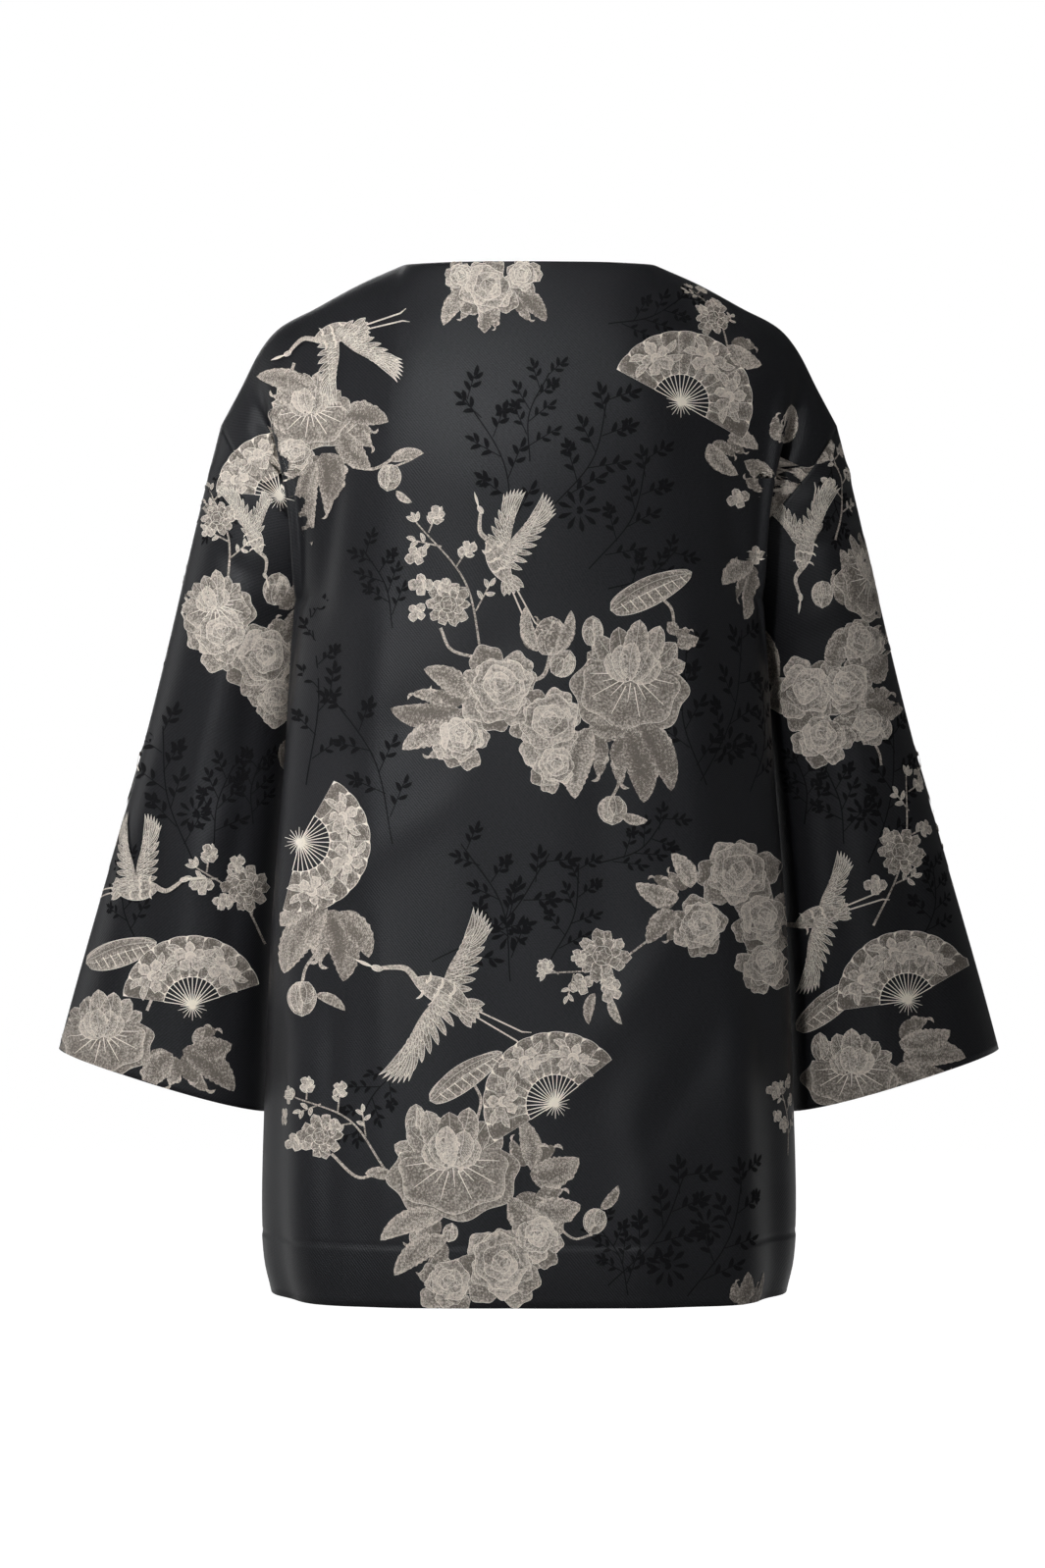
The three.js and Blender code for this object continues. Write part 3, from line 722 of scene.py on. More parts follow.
class Bud(namedtuple("Bud", "x y length half turn")):
    """Closed bud of lapping petals."""

    def draw(self, b):
        c = (self.x, self.y)
        low, high = polar(c, self.length / 2, self.turn + 180), polar(c, self.length / 2, self.turn)
        b.blade(low, high, self.half, belly=0.9, blunt=0.5, tone=0.42)
        b.blade(low, polar(high, 0.1 * self.length, self.turn + 200), 0.5 * self.half, 0.16, 0.9, 0.55, 0.55)
        b.blade(low, polar(high, 0.35 * self.length, self.turn + 170), 0.5 * self.half, -0.16, 0.9, 0.55, 0.34)


class Leaf(namedtuple("Leaf", "x0 y0 x1 y1 half bend")):
    """Cloudy leaf with a lobe on either side of its curled tip."""

    def draw(self, b):
        base, tip = np.array(self[0:2], float), np.array(self[2:4], float)
        run = tip - base
        side = np.array([-run[1], run[0]])
        seed = self.x0 + self.y1
        if self.half > 8:
            lobes = ((0.70, 0.40, 0.26), (0.64, 0.40, -0.28), (0.40, 0.30, 0.32), (0.36, 0.28, -0.34))
            for k, (t, w, lean) in enumerate(lobes):
                end = base + run * t + side * lean * self.half / np.hypot(*run) * 3.4
                half, hand, tone = 0.8 * w * self.half + 2, np.sign(lean), 0.34 + 0.2 * uneven(seed, k)
                b.blade(base + run * 0.08, end, half, 0.12 * hand, 0.95, 0.6, tone, 0.07, True)
                claw = np.degrees(np.arctan2(base[1] - end[1], end[0] - base[0])) + 70 * hand
                curl = polar(end, 0.42 * self.half, claw)
                b.blade(end - 0.06 * run, curl, 0.1 * self.half, 0.3 * hand, 1.0, 0.7, 0.6, bare=True)
        tone = 0.5 + 0.16 * uneven(seed, 9)
        b.blade(base, tip, 0.8 * self.half, self.bend, 0.85, 0.65, tone, 0.07, True)
        b.blade(base, base + run * 0.86, 0.34 * self.half, self.bend + 0.05, 0.9, 0.6, tone - 0.2, 0.05, True)


class Pad(namedtuple("Pad", "x0 y0 x1 y1 half")):
    """Lotus leaf seen from its edge, with threads across it."""

    def draw(self, b):
        base, tip = np.array(self[0:2], float), np.array(self[2:4], float)
        run = tip - base
        side = np.array([-run[1], run[0]]) / np.hypot(*run)
        b.blade(base, tip, self.half, 0.0, 0.8, 0.5, 0.46)
        b.blade(base, base + run * 0.96, 0.5 * self.half, -0.09, 0.85, 0.5, 0.32)
        for t in np.linspace(0.14, 0.86, 8):
            reach = self.half * np.sin(np.pi * t**0.8) ** 0.5 * 0.86
            at = base + run * t
            b.ribbon([at - side * 0.1 * reach, at + side * reach + run * 0.04], 1.0, 0.95, 0.4)


class Stem(namedtuple("Stem", "x0 y0 x1 y1 x2 y2 width")):
    """Stem through three places."""

    def draw(self, b):
        b.ribbon([self[0:2], self[2:4], self[4:6]], self.width, tone=0.5)


class Spray(namedtuple("Spray", "x0 y0 x1 y1 bend size")):
    """Twig with side twigs of small leaves and half-open blossoms."""

    def draw(self, b):
        on, turn = bowed(self[0:2], self[2:4], self.bend)
        tip, seed = on(1.0), self.x0 + self.y0
        b.ribbon([on(0.0), on(0.5), tip], 2.4, 0.4, 0.4)
        for k, t in enumerate((0.3, 0.46, 0.62, 0.78, 0.9)):
            lean = (52 if k % 2 else -52) + 10 * uneven(seed, k)
            reach = self.size * (1.25 - 0.45 * t) * (1 + 0.2 * uneven(seed, k + 5))
            end = polar(on(t), reach, turn + lean)
            b.ribbon([on(t), end], 1.6, 0.4)
            for m, (u, aside) in enumerate(((0.45, 55), (0.7, -60), (0.9, 48), (1.0, -8))):
                at = on(t) + (np.array(end) - on(t)) * u
                leaf = polar(at, 0.42 * self.size, turn + lean + aside)
                b.blade(at, leaf, 0.1 * self.size, 0.08, 0.95, 0.6, 0.44 + 0.1 * (m % 2))
            if k in (1, 2, 4):
                Blossom(*end, 0.4 * self.size, turn + 40 * k).draw(b)
        for aside in (-38, 0, 36):
            b.blade(tip, polar(tip, 0.45 * self.size, turn + aside), 0.1 * self.size, 0.05, 0.95, 0.6, 0.5)


class Fern(namedtuple("Fern", "x0 y0 x1 y1 bend size")):
    """Thin wild twig: narrow leaflets in pairs and a few tiny flowers, for the tone-on-tone pattern."""

    def draw(self, b):
        on, turn = bowed(self[0:2], self[2:4], self.bend)
        seed = self.x1 + self.y0
        b.ribbon([on(0.0), on(0.5), on(1.0)], 1.3)
        for k, t in enumerate(np.linspace(0.15, 0.95, 7)):
            lean = (42 if k % 2 else -42) + 14 * uneven(seed, k)
            end = polar(on(t), self.size * (1.2 - 0.5 * t), turn + lean)
            b.ribbon([on(t), end], 1.0)
            for u, aside in ((0.35, 46), (0.55, -46), (0.75, 46), (0.9, -40), (1.0, 0)):
                at = on(t) + (np.array(end) - on(t)) * u
                b.blade(at, polar(at, 0.36 * self.size, turn + lean + aside), 0.07 * self.size, 0.1, 0.95, 0.6)
            if k % 3 == 1:
                for p in range(5):
                    b.shell(end, 72 * p, 0.26 * self.size, 26)


class Daisy(namedtuple("Daisy", "x y radius turn")):
    """Open flower of thin separate petals, for the tone-on-tone pattern."""

    def draw(self, b):
        c, r = (self.x, self.y), self.radius
        for k in range(9):
            a = self.turn + 40 * k
            b.shell(polar(c, 0.3 * r, a), a, 0.7 * r, 17)
        b.shell(c, 0, 0.2 * r, 175, 0.5, 0.0)


class Fan(namedtuple("Fan", "x y outer inner start end")):
    """Folding fan: pleated leaf with flowers drawn in thread, bare ribs and a tasselled rivet."""

    def draw(self, b):
        pivot, leaf = (self.x, self.y), self.outer - self.inner
        count = max(4, round(abs(self.end - self.start) / 15))
        turns = np.linspace(self.start, self.end, count + 1)
        for k in range(count):
            tone = 0.18 if k in (0, count - 1) else 0.36 - 0.1 * (k % 2)
            b.sector(pivot, self.inner, self.outer, turns[k], turns[k + 1], tone, ripple=0.012)
        for a in np.linspace(self.start, self.end, round(1.5 * count) + 1):
            b.ribbon([polar(pivot, 3, a), polar(pivot, self.inner, a)], 0.9, tone=1.0)
        for k, t in enumerate((0.2, 0.5, 0.8)):
            a = mix(self.start, self.end, t) + 5 * uneven(self.x, k)
            at = polar(pivot, mix(self.inner, self.outer, 0.5 + 0.08 * uneven(self.y, k + 3)), a)
            for lean in (64, 100, -70, -104):
                low, high = polar(at, 0.2 * leaf, a + lean), polar(at, 0.62 * leaf, a + 1.06 * lean)
                b.blade(low, high, 0.09 * leaf, 0.14, tone=0.5)
            for p in range(5):
                reach, tone = 0.38 * leaf * (1 + 0.14 * uneven(self.x, p + k)), 0.66 + 0.2 * uneven(self.y, p + k)
                b.shell(at, 72 * p + a, reach, 35, tone, 0.07, p)
            b.crescent(at, 0.13 * leaf, 0.09 * leaf, a - 100, a + 120, 0.95)
        for k in range(20):
            b.ribbon([pivot, polar(pivot, 12 + 3 * (k % 2), 18 * k)], 1.1, 1.0, 0.6)


class Crane(namedtuple("Crane", "x y size heading near far")):
    """Flying crane: body, curved neck and beak, two wings of long feathers, tail and trailing legs."""

    def wing(self, b, turn, spread, length, tone):
        """Feathers along an arm, from the longest at the wing's tip to the shortest by the body."""
        root = np.array(self[0:2], float)
        arm = np.array(polar((0, 0), 0.62 * length, turn - 0.1 * spread))
        bow = 0.05 * np.sign(spread) * np.array([arm[1], -arm[0]])
        s = self.size
        for k in range(8):
            t = 1 - k / 7
            at = root + arm * (0.08 + 0.86 * (1 - t)) - bow * 4 * t * (1 - t)
            lean = turn + spread * mix(0.5, 1.75, t)
            b.blade(at, polar(at, length * mix(0.40, 0.30, t), lean), 0.042 * s, -0.05 * np.sign(spread), 0.9, 0.6,
                    tone + 0.12 * (k % 2))
        for k in range(7):
            t = 1 - k / 6
            at = root + arm * (0.94 + 0.06 * (1 - t))
            lean = turn + spread * mix(-0.28, 0.62, t)
            reach = length * (0.5 - 0.08 * t - 0.06 * (1 - t) ** 3)
            b.blade(at, polar(at, reach, lean), 0.036 * s, -0.07 * np.sign(spread), 0.7, 0.85, tone + 0.12 * (k % 2))
        for row, (low, high) in enumerate(((0.24, 0.17), (0.14, 0.11))):
            for k in range(11 - row):
                t = k / (10 - row)
                at = root + arm * (1 - t) * 0.97 - bow * 4 * t * (1 - t)
                lean = turn + spread * mix(0.1, 1.8, t)
                b.blade(at, polar(at, length * mix(low, high, t), lean), 0.034 * s, 0, 1.0, 0.6, tone + 0.1 + 0.1 * row)
        b.ribbon([root, root + arm * 0.5 - bow, root + arm], 0.05 * s, tone + 0.3, 0.5)

    def draw(self, b):
        """From the back to the front: legs, tail, far wing, body, near wing, neck, head and beak."""
        c, s, h = (self.x, self.y), self.size, self.heading
        bank = np.sign(np.sin(np.radians(self.near - h)))
        for k in (-1, 1):
            foot = polar(polar(c, 0.3 * s, h + 180), 0.62 * s, h + 180 + 5 * k)
            b.ribbon([polar(c, 0.2 * s, h + 180 + 6 * k), foot], 1.6, tone=0.9)
            b.ribbon([foot, polar(foot, 0.1 * s, h + 180 + 24 * k)], 1.6, 0.9, 0.6)
        for k in range(5):
            b.blade(polar(c, 0.18 * s, h + 180), polar(c, 0.46 * s, h + 160 + 9 * k), 0.055 * s, 0, 1.1, 0.7, 0.42)
        self.wing(b, self.far, -bank * 46, 0.92 * s, 0.2)
        b.blade(polar(c, 0.34 * s, h + 180), polar(c, 0.34 * s, h), 0.135 * s, 0.05 * bank, 1.05, tone=0.5)
        for k in range(9):
            at = polar(polar(c, 0.09 * s * (1 - k % 3), h + 90), 0.24 * s - 0.07 * s * (k // 3) * 2, h)
            b.crescent(at, 0.075 * s, 0.03 * s, h + 110, h + 250, 0.95, 0.0)
        self.wing(b, self.near, bank * 46, s, 0.28)
        chest = polar(c, 0.26 * s, h)
        crook = polar(chest, 0.2 * s, h - 20 * bank)
        neck = polar(crook, 0.16 * s, h + 22 * bank)
        head = polar(neck, 0.13 * s, h + 34 * bank)
        b.ribbon([polar(c, 0.12 * s, h), chest, crook, neck, head], 0.085 * s, 0.6, 0.55)
        b.blade(polar(head, 0.05 * s, h + 190), polar(head, 0.08 * s, h + 10), 0.034 * s, blunt=0.5, tone=0.7)
        b.blade(polar(head, 0.05 * s, h + 10), polar(head, 0.26 * s, h + 6 * bank), 0.018 * s, blunt=1, tone=1.0)


# The layouts: kinds of motif at places, sizes and turns in layout units and degrees.
BACK_MOTIFS = (
    Leaf(478, 296, 452, 332, 11, 0.1), Leaf(528, 300, 556, 328, 11, -0.1), Leaf(500, 318, 494, 340, 9, 0.1),
    Peony(497, 296, 34, 10), Peony(533, 282, 20, 40), Peony(468, 282, 16, 0),
    Crane(344, 342, 74, 196, 330, 262), Stem(300, 370, 286, 420, 292, 470, 3),
    Leaf(318, 402, 262, 384, 14, 0.1), Leaf(352, 424, 396, 430, 14, -0.1), Leaf(350, 440, 378, 478, 15, 0.1),
    Leaf(306, 452, 268, 492, 17, 0.1), Leaf(328, 462, 336, 512, 18, -0.1), Leaf(322, 470, 318, 556, 14, 0.1),
    Fan(286, 506, 66, 26, 88, 176), Lotus(318, 426, 50, 72, 10), Peony(300, 464, 22, 0),
    Stem(350, 470, 380, 478, 408, 462, 3), Leaf(398, 470, 432, 462, 8, -0.1),
    Bud(397, 487, 28, 12, 260), Leaf(404, 500, 420, 512, 5, 0.1),
    Stem(430, 462, 416, 470, 400, 476, 2), Fan(693, 411, 74, 29, 152, -30),
    Leaf(722, 452, 752, 484, 11, 0.1), Leaf(742, 444, 772, 458, 10, -0.1), Spray(750, 362, 702, 296, 0.1, 20),
    Chrysanthemum(726, 324, 18, 0), Leaf(742, 352, 776, 372, 12, 0.1), Stem(752, 430, 752, 400, 744, 360, 2.4),
    Crane(510, 572, 78, 116, 50, 78), Leaf(794, 452, 806, 412, 11, 0.1), Leaf(784, 496, 758, 470, 12, 0.1),
    Leaf(790, 500, 800, 544, 13, -0.1), Peony(784, 474, 24, 20), Leaf(768, 574, 736, 596, 13, 0.1),
    Leaf(770, 580, 746, 630, 14, -0.1), Chrysanthemum(757, 542, 20, 0), Blossom(752, 508, 12, 20),
    Blossom(770, 566, 11, 0),
    Spray(491, 671, 424, 532, 0.12, 25), Chrysanthemum(457, 616, 23, 0), Blossom(424, 566, 12, 30),
    Blossom(429, 596, 13, 0), Blossom(425, 624, 11, 50), Stem(491, 671, 460, 662, 449, 640, 3),
    Leaf(478, 712, 432, 682, 15, 0.1), Leaf(470, 724, 398, 722, 17, -0.1), Leaf(470, 744, 410, 764, 16, 0.1),
    Leaf(566, 664, 582, 622, 9, 0.1), Leaf(548, 664, 536, 618, 9, -0.1), Stem(520, 694, 552, 690, 562, 664, 4),
    Bud(561, 648, 40, 17, 85), Bud(574, 676, 30, 13, 60),
    Pad(622, 622, 705, 583, 15), Stem(672, 608, 684, 620, 687, 640, 3), Bud(604, 643, 31, 11, 90),
    Stem(604, 658, 606, 676, 618, 696, 3), Leaf(690, 652, 712, 650, 9, 0.1), Leaf(688, 648, 680, 634, 8, 0.1),
    Stem(690, 656, 688, 676, 676, 692, 2.4),
    Leaf(602, 742, 586, 814, 19, 0.08), Leaf(640, 744, 656, 818, 20, -0.08), Leaf(652, 738, 684, 806, 17, -0.1),
    Leaf(600, 736, 640, 744, 14, 0.05), Lotus(642, 702, 66, 108, -8), Peony(566, 782, 27, 0),
    Peony(559, 742, 42, 20), Peony(470, 754, 30, 40), Peony(508, 702, 43, 5),
    Stem(630, 786, 630, 800, 624, 812, 3), Bud(624, 826, 30, 15, 270), Leaf(634, 830, 660, 836, 7, 0.1),
    Fan(306, 858, 72, 30, 61, -104), Leaf(334, 925, 290, 992, 21, 0.1), Leaf(334, 928, 350, 1000, 21, -0.12),
    Leaf(342, 932, 376, 976, 16, -0.15), Leaf(312, 928, 286, 944, 12, 0.1), Bud(308, 1018, 36, 15, 270),
    Stem(322, 972, 312, 986, 308, 1002, 3), Leaf(322, 1014, 352, 1030, 7, -0.1),
    Crane(450, 1014, 98, 152, 240, 62),
    Spray(672, 950, 556, 992, -0.12, 22), Chrysanthemum(614, 974, 27, 0), Blossom(592, 1003, 13, 20),
    Blossom(623, 1010, 13, 60), Leaf(606, 1012, 600, 1044, 7, 0.1), Leaf(622, 1016, 634, 1044, 6, 0.1),
    Leaf(704, 905, 684, 870, 12, 0.1), Leaf(692, 915, 648, 900, 13, -0.1), Leaf(690, 930, 660, 962, 13, 0.1),
    Peony(777, 985, 28, 10), Peony(712, 945, 30, 0), Peony(780, 938, 34, 40), Peony(752, 893, 40, 15),
    Pad(438, 1122, 512, 1072, 13), Stem(480, 1100, 490, 1120, 486, 1142, 3), Leaf(540, 1196, 590, 1180, 19, 0.12),
    Leaf(545, 1230, 592, 1228, 17, 0.1), Leaf(540, 1190, 530, 1140, 13, 0.1), Leaf(520, 1220, 572, 1268, 17, 0.1),
    Fan(566, 1125, 74, 29.5, 38, 212), Stem(425, 1162, 430, 1176, 440, 1190, 3), Bud(424, 1143, 36, 11, 90),
    Leaf(400, 1200, 372, 1196, 8, 0.1), Lotus(462, 1196, 74, 106, 4),
    Spray(392, 1191, 300, 1118, 0.14, 22), Chrysanthemum(327, 1158, 23, 0), Blossom(294, 1116, 11, 0),
    Blossom(290, 1138, 11, 40), Blossom(301, 1164, 11, 20), Stem(392, 1191, 366, 1200, 338, 1176, 3),
    Leaf(452, 1240, 388, 1264, 15, 0.12), Leaf(456, 1262, 402, 1300, 15, 0.1), Bud(426, 1262, 24, 9, 110),
    Bud(459, 1256, 20, 8, 80), Stem(560, 1240, 584, 1262, 604, 1258, 2.4), Bud(606, 1245, 28, 12, 250),
    Leaf(612, 1232, 630, 1208, 7, 0.1), Peony(456, 1310, 31, 0), Peony(548, 1262, 30, 30), Peony(512, 1292, 44, 25),
    Spray(806, 1178, 790, 1108, 0.1, 19), Blossom(790, 1111, 10, 0), Blossom(799, 1146, 10, 0),
    Leaf(762, 1330, 786, 1300, 9, 0.1), Leaf(752, 1330, 762, 1296, 9, 0.1),
)
RIGHT_SLEEVE_MOTIFS = (
    Crane(822, 560, 68, 258, 70, 128), Bud(838, 606, 28, 11, 270), Leaf(872, 640, 846, 690, 15, 0.1),
    Leaf(880, 690, 912, 664, 14, 0.1), Leaf(882, 716, 920, 722, 14, 0.1), Leaf(868, 620, 856, 560, 12, 0.1),
    Lotus(880, 606, 42, 110, -8), Peony(880, 656, 27, 30), Leaf(790, 700, 772, 640, 14, 0.1),
    Peony(862, 700, 32, 20), Peony(820, 706, 37, 0), Peony(840, 752, 31, 40), Peony(884, 740, 21, 0),
    Stem(888, 752, 896, 768, 898, 780, 2.4), Bud(898, 742, 26, 11, 300),
    Spray(886, 944, 924, 790, 0.1, 25), Chrysanthemum(918, 868, 24, 0), Blossom(936, 792, 12, 0),
    Blossom(892, 902, 12, 0), Crane(834, 936, 74, 200, 262, 66),
    Pad(812, 1050, 884, 996, 13), Fan(925, 1020, 72, 28, 30, 188), Leaf(916, 1062, 968, 1050, 17, 0.12),
    Leaf(920, 1080, 984, 1078, 17, -0.1), Leaf(910, 1090, 946, 1118, 15, -0.1), Bud(836, 1066, 28, 9, 90),
    Lotus(868, 1098, 56, 74, 0), Spray(868, 548, 842, 462, 0.1, 20), Leaf(846, 470, 812, 430, 12, 0.1),
)
LEFT_SLEEVE_MOTIFS = (
    Fan(286, 506, 66, 26, 88, 176), Crane(258, 548, 56, 292, 118, 70), Spray(232, 600, 214, 500, 0.1, 20),
    Chrysanthemum(222, 528, 18, 0), Bud(282, 600, 34, 14, 80), Leaf(284, 620, 306, 590, 9, 0.1),
    Leaf(250, 640, 196, 650, 15, 0.1), Leaf(282, 660, 300, 620, 13, 0.1), Lotus(222, 624, 42, 64, 20),
    Leaf(272, 690, 304, 740, 15, -0.1), Leaf(252, 700, 300, 700, 15, 0.1), Peony(268, 672, 40, 0),
    Peony(282, 712, 28, 60), Peony(226, 650, 36, 30), Leaf(282, 755, 302, 790, 10, 0.1),
    Spray(270, 962, 200, 884, 0.12, 25), Chrysanthemum(250, 905, 24, 0), Blossom(206, 902, 12, 0),
    Crane(140, 905, 78, 0, 110, 74), Pad(88, 982, 160, 960, 14), Stem(150, 970, 160, 1000, 150, 1030, 3),
    Fan(196, 1025, 72, 29, 18, 172), Leaf(176, 1074, 150, 1110, 17, 0.1), Leaf(186, 1070, 238, 1112, 18, -0.1),
    Leaf(196, 1066, 236, 1064, 16, 0.1), Lotus(106, 1062, 56, 80, 6), Bud(92, 1030, 30, 10, 95),
    Bud(186, 1126, 22, 10, 270),
)
RIGHT_FRONT_MOTIFS = (
    Leaf(724, 372, 690, 392, 13, 0.1), Leaf(744, 366, 774, 396, 13, -0.1), Lotus(728, 352, 38, 56, 0),
    Spray(752, 520, 716, 420, 0.1, 22), Blossom(708, 424, 12, 0),
    Leaf(640, 440, 604, 476, 15, 0.1), Leaf(664, 428, 706, 424, 15, 0.1), Peony(644, 420, 36, 0),
    Peony(668, 452, 24, 0),
    Crane(630, 548, 80, 200, 250, 40), Spray(720, 650, 632, 620, 0.1, 25), Chrysanthemum(668, 636, 22, 0),
    Leaf(590, 762, 566, 810, 16, 0.1), Leaf(600, 720, 572, 690, 15, 0.1), Fan(704, 760, 72, 29, 150, -24),
    Peony(612, 730, 40, 10), Peony(636, 780, 30, 30), Leaf(730, 920, 700, 950, 16, 0.1),
    Leaf(756, 900, 790, 930, 15, 0.1),
    Lotus(736, 880, 56, 90, 0), Bud(690, 850, 30, 11, 90), Crane(640, 950, 90, 160, 240, 60),
    Spray(760, 1050, 650, 1056, -0.1, 25), Chrysanthemum(700, 1052, 23, 0), Pad(566, 1110, 640, 1066, 13),
    Fan(632, 1150, 72, 29, 40, 206), Leaf(700, 1240, 760, 1250, 17, 0.1), Lotus(730, 1196, 62, 96, 0),
    Leaf(610, 1260, 572, 1282, 15, 0.1), Peony(640, 1262, 40, 0), Peony(686, 1292, 28, 40),
)
BACK_SHADOWS = (
    Fern(520, 560, 470, 400, 0.12, 34), Fern(560, 520, 620, 400, 0.12, 34), Fern(600, 580, 660, 460, 0.12, 30),
    Fern(540, 470, 560, 380, -0.12, 28), Daisy(590, 520, 22, 0), Fern(620, 600, 690, 560, 0.12, 26),
    Fern(700, 800, 760, 640, 0.1, 36), Fern(720, 800, 700, 660, -0.1, 32), Daisy(742, 760, 20, 0),
    Fern(760, 810, 776, 700, 0.1, 26), Fern(440, 980, 560, 870, 0.12, 34), Fern(520, 1000, 470, 860, 0.12, 30),
    Daisy(520, 950, 20, 0), Fern(560, 980, 590, 880, 0.1, 26), Fern(400, 860, 330, 700, 0.1, 32),
    Fern(620, 1310, 700, 1190, 0.1, 36), Fern(700, 1320, 760, 1190, 0.1, 34), Fern(640, 1320, 610, 1250, 0.1, 26),
    Daisy(680, 1290, 22, 0), Daisy(720, 1250, 18, 0), Fern(312, 800, 316, 620, 0.06, 26),
    Fern(420, 1080, 360, 1160, 0.1, 26),
    Fern(610, 880, 680, 830, 0.15, 26), Fern(400, 640, 370, 560, 0.1, 26), Fern(620, 330, 700, 300, 0.1, 24),
)
SLEEVE_SHADOWS = (
    Fern(880, 880, 912, 740, 0.08, 34), Fern(860, 860, 840, 780, 0.08, 28), Fern(846, 470, 862, 540, 0.08, 24),
    Daisy(880, 830, 18, 0), Fern(940, 960, 950, 880, 0.1, 26), Fern(820, 840, 810, 770, 0.1, 24),
)
FRONT_SHADOWS = (
    Fern(600, 640, 700, 560, 0.1, 34), Fern(700, 1000, 620, 880, 0.1, 34), Daisy(690, 1120, 20, 0),
    Fern(720, 540, 700, 480, 0.1, 26),
)
SIDE_MOTIFS = (
    Leaf(590, 480, 566, 520, 13, 0.1), Peony(596, 450, 28, 0), Spray(600, 640, 566, 560, 0.1, 20),
    Crane(590, 760, 60, 200, 260, 60), Leaf(600, 870, 570, 900, 14, 0.1), Lotus(596, 860, 40, 60, 0),
)


BACK_CREASES = (
    Crease(345, 470, 322, 640, 9, -3.0), Crease(400, 520, 372, 900, 16, 2.6), Crease(742, 470, 758, 640, 9, -3.0),
    Crease(700, 560, 716, 930, 16, 2.6), Crease(470, 560, 462, 1180, 22, 2.0), Crease(612, 620, 622, 1240, 22, -2.0),
    Crease(302, 930, 300, 1310, 9, 3.2), Crease(338, 960, 334, 1310, 10, -3.2), Crease(388, 900, 396, 1310, 13, 2.6),
    Crease(776, 980, 786, 1290, 10, -3.0), Crease(744, 900, 752, 1310, 12, 2.2), Crease(330, 330, 300, 400, 10, 2.2),
    Crease(752, 330, 782, 400, 10, 2.2), Crease(770, 860, 560, 1120, 17, 2.6), Crease(790, 960, 640, 1200, 15, -2.8),
    Crease(300, 930, 470, 800, 16, 2.4), Crease(330, 800, 520, 650, 18, -2.2), Crease(520, 620, 700, 760, 20, -2.0),
    Crease(420, 330, 380, 520, 20, 1.4), Crease(640, 330, 690, 520, 18, 2.0), Crease(540, 1180, 520, 1320, 16, -2.4),
    Crease(640, 1120, 668, 1320, 14, 2.4),
)
FRONT_CREASES = (
    Crease(650, 480, 676, 760, 12, -2.0), Crease(700, 620, 712, 1100, 16, 2.0), Crease(610, 760, 604, 1240, 16, 1.8),
    Crease(740, 520, 752, 700, 9, -2.0),
)
RIGHT_SLEEVE_CREASES = (
    Crease(812, 520, 878, 470, 7, 2.4), Crease(806, 560, 888, 540, 8, -2.6), Crease(846, 560, 900, 900, 12, 3.0),
    Crease(826, 640, 858, 1080, 10, -3.0), Crease(900, 760, 952, 1060, 10, -2.6), Crease(872, 800, 902, 1100, 11, 2.6),
    Crease(820, 640, 880, 590, 8, 2.2),
)
LEFT_SLEEVE_CREASES = (
    Crease(262, 520, 214, 476, 7, 2.4), Crease(262, 560, 172, 900, 12, 3.0), Crease(262, 640, 224, 1080, 10, -3.0),
    Crease(186, 720, 128, 1040, 11, -2.6), Crease(214, 800, 170, 1090, 11, 2.6), Crease(268, 600, 220, 560, 8, -2.4),
    Crease(250, 800, 150, 960, 12, 2.2),
)


def mirror_motifs(motifs):
    """The same kinds of motif laid out the other way round, for sides that mirror each other."""
    turned = []
    for m in motifs:
        values = m._asdict()
        for name in ("x", "x0", "x1", "x2"):
            if name in values:
                values[name] = 2 * LAYOUT_X - values[name]
        for name in ("turn", "heading", "near", "far"):
            if name in values and not isinstance(m, Lotus):
                values[name] = 180 - values[name]
        if "bend" in values:
            values["bend"] = -values["bend"]
        if "start" in values:
            values["start"], values["end"] = 180 - values["end"], 180 - values["start"]
        turned.append(type(m)(**values))
    return tuple(turned)


def shifted(motifs, across, down):
    """The same motifs moved across and down, those past the hem beginning again at the top."""
    moved = []
    for m in motifs:
        values = m._asdict()
        low = min(values[name] for name in values if name in ("y", "y0", "y1", "y2"))
        wrap = down - (LAYOUT_WRAP if low + down > LAYOUT_HEM else 0)
        for name in values:
            if name in ("x", "x0", "x1", "x2"):
                values[name] += across
            if name in ("y", "y0", "y1", "y2"):
                values[name] += wrap
        moved.append(type(m)(**values))
    return tuple(moved)


def weave_motifs(name, cloth, layouts, lift, step, material):
    """Brocade piece: each motif's grid laid on the cloth's outer face, a little higher for each layer."""
    quads, points, threads = [], [], []
    count = 0
    for motifs, view in layouts:
        for motif in motifs:
            brocade = Brocade()
            motif.draw(brocade)
            at, out, found = cloth.lay_down(np.concatenate(brocade.places), view)
            rise = lift + np.concatenate(brocade.rises) * step
            cells = np.concatenate(brocade.quads)
            at = at + out * rise[:, None]
            cells = cells[found[cells].sum(1) >= 3]
            if not len(cells):
                continue
            diagonal = np.cross(at[cells[:, 2]] - at[cells[:, 0]], at[cells[:, 3]] - at[cells[:, 1]])
            wrong = (diagonal * out[cells[:, 0]]).sum(-1) < 0
            cells[wrong] = cells[wrong][:, ::-1]
            used = np.zeros(len(at), bool)
            used[cells] = True
            quads.append((np.cumsum(used) - 1)[cells] + count)
            points.append(at[used])
            threads.append(np.concatenate(brocade.threads)[used])
            count += used.sum()
    mesh = bpy.data.meshes.new(name)
    mesh.from_pydata(np.concatenate(points).tolist(), [], np.concatenate(quads).tolist())
    layer = mesh.attributes.new("threads", "FLOAT_COLOR", "POINT")
    layer.data.foreach_set("color", np.concatenate(threads).astype(np.float32).reshape(-1))
    mesh.shade_smooth()
    return add_piece(name, mesh, material)


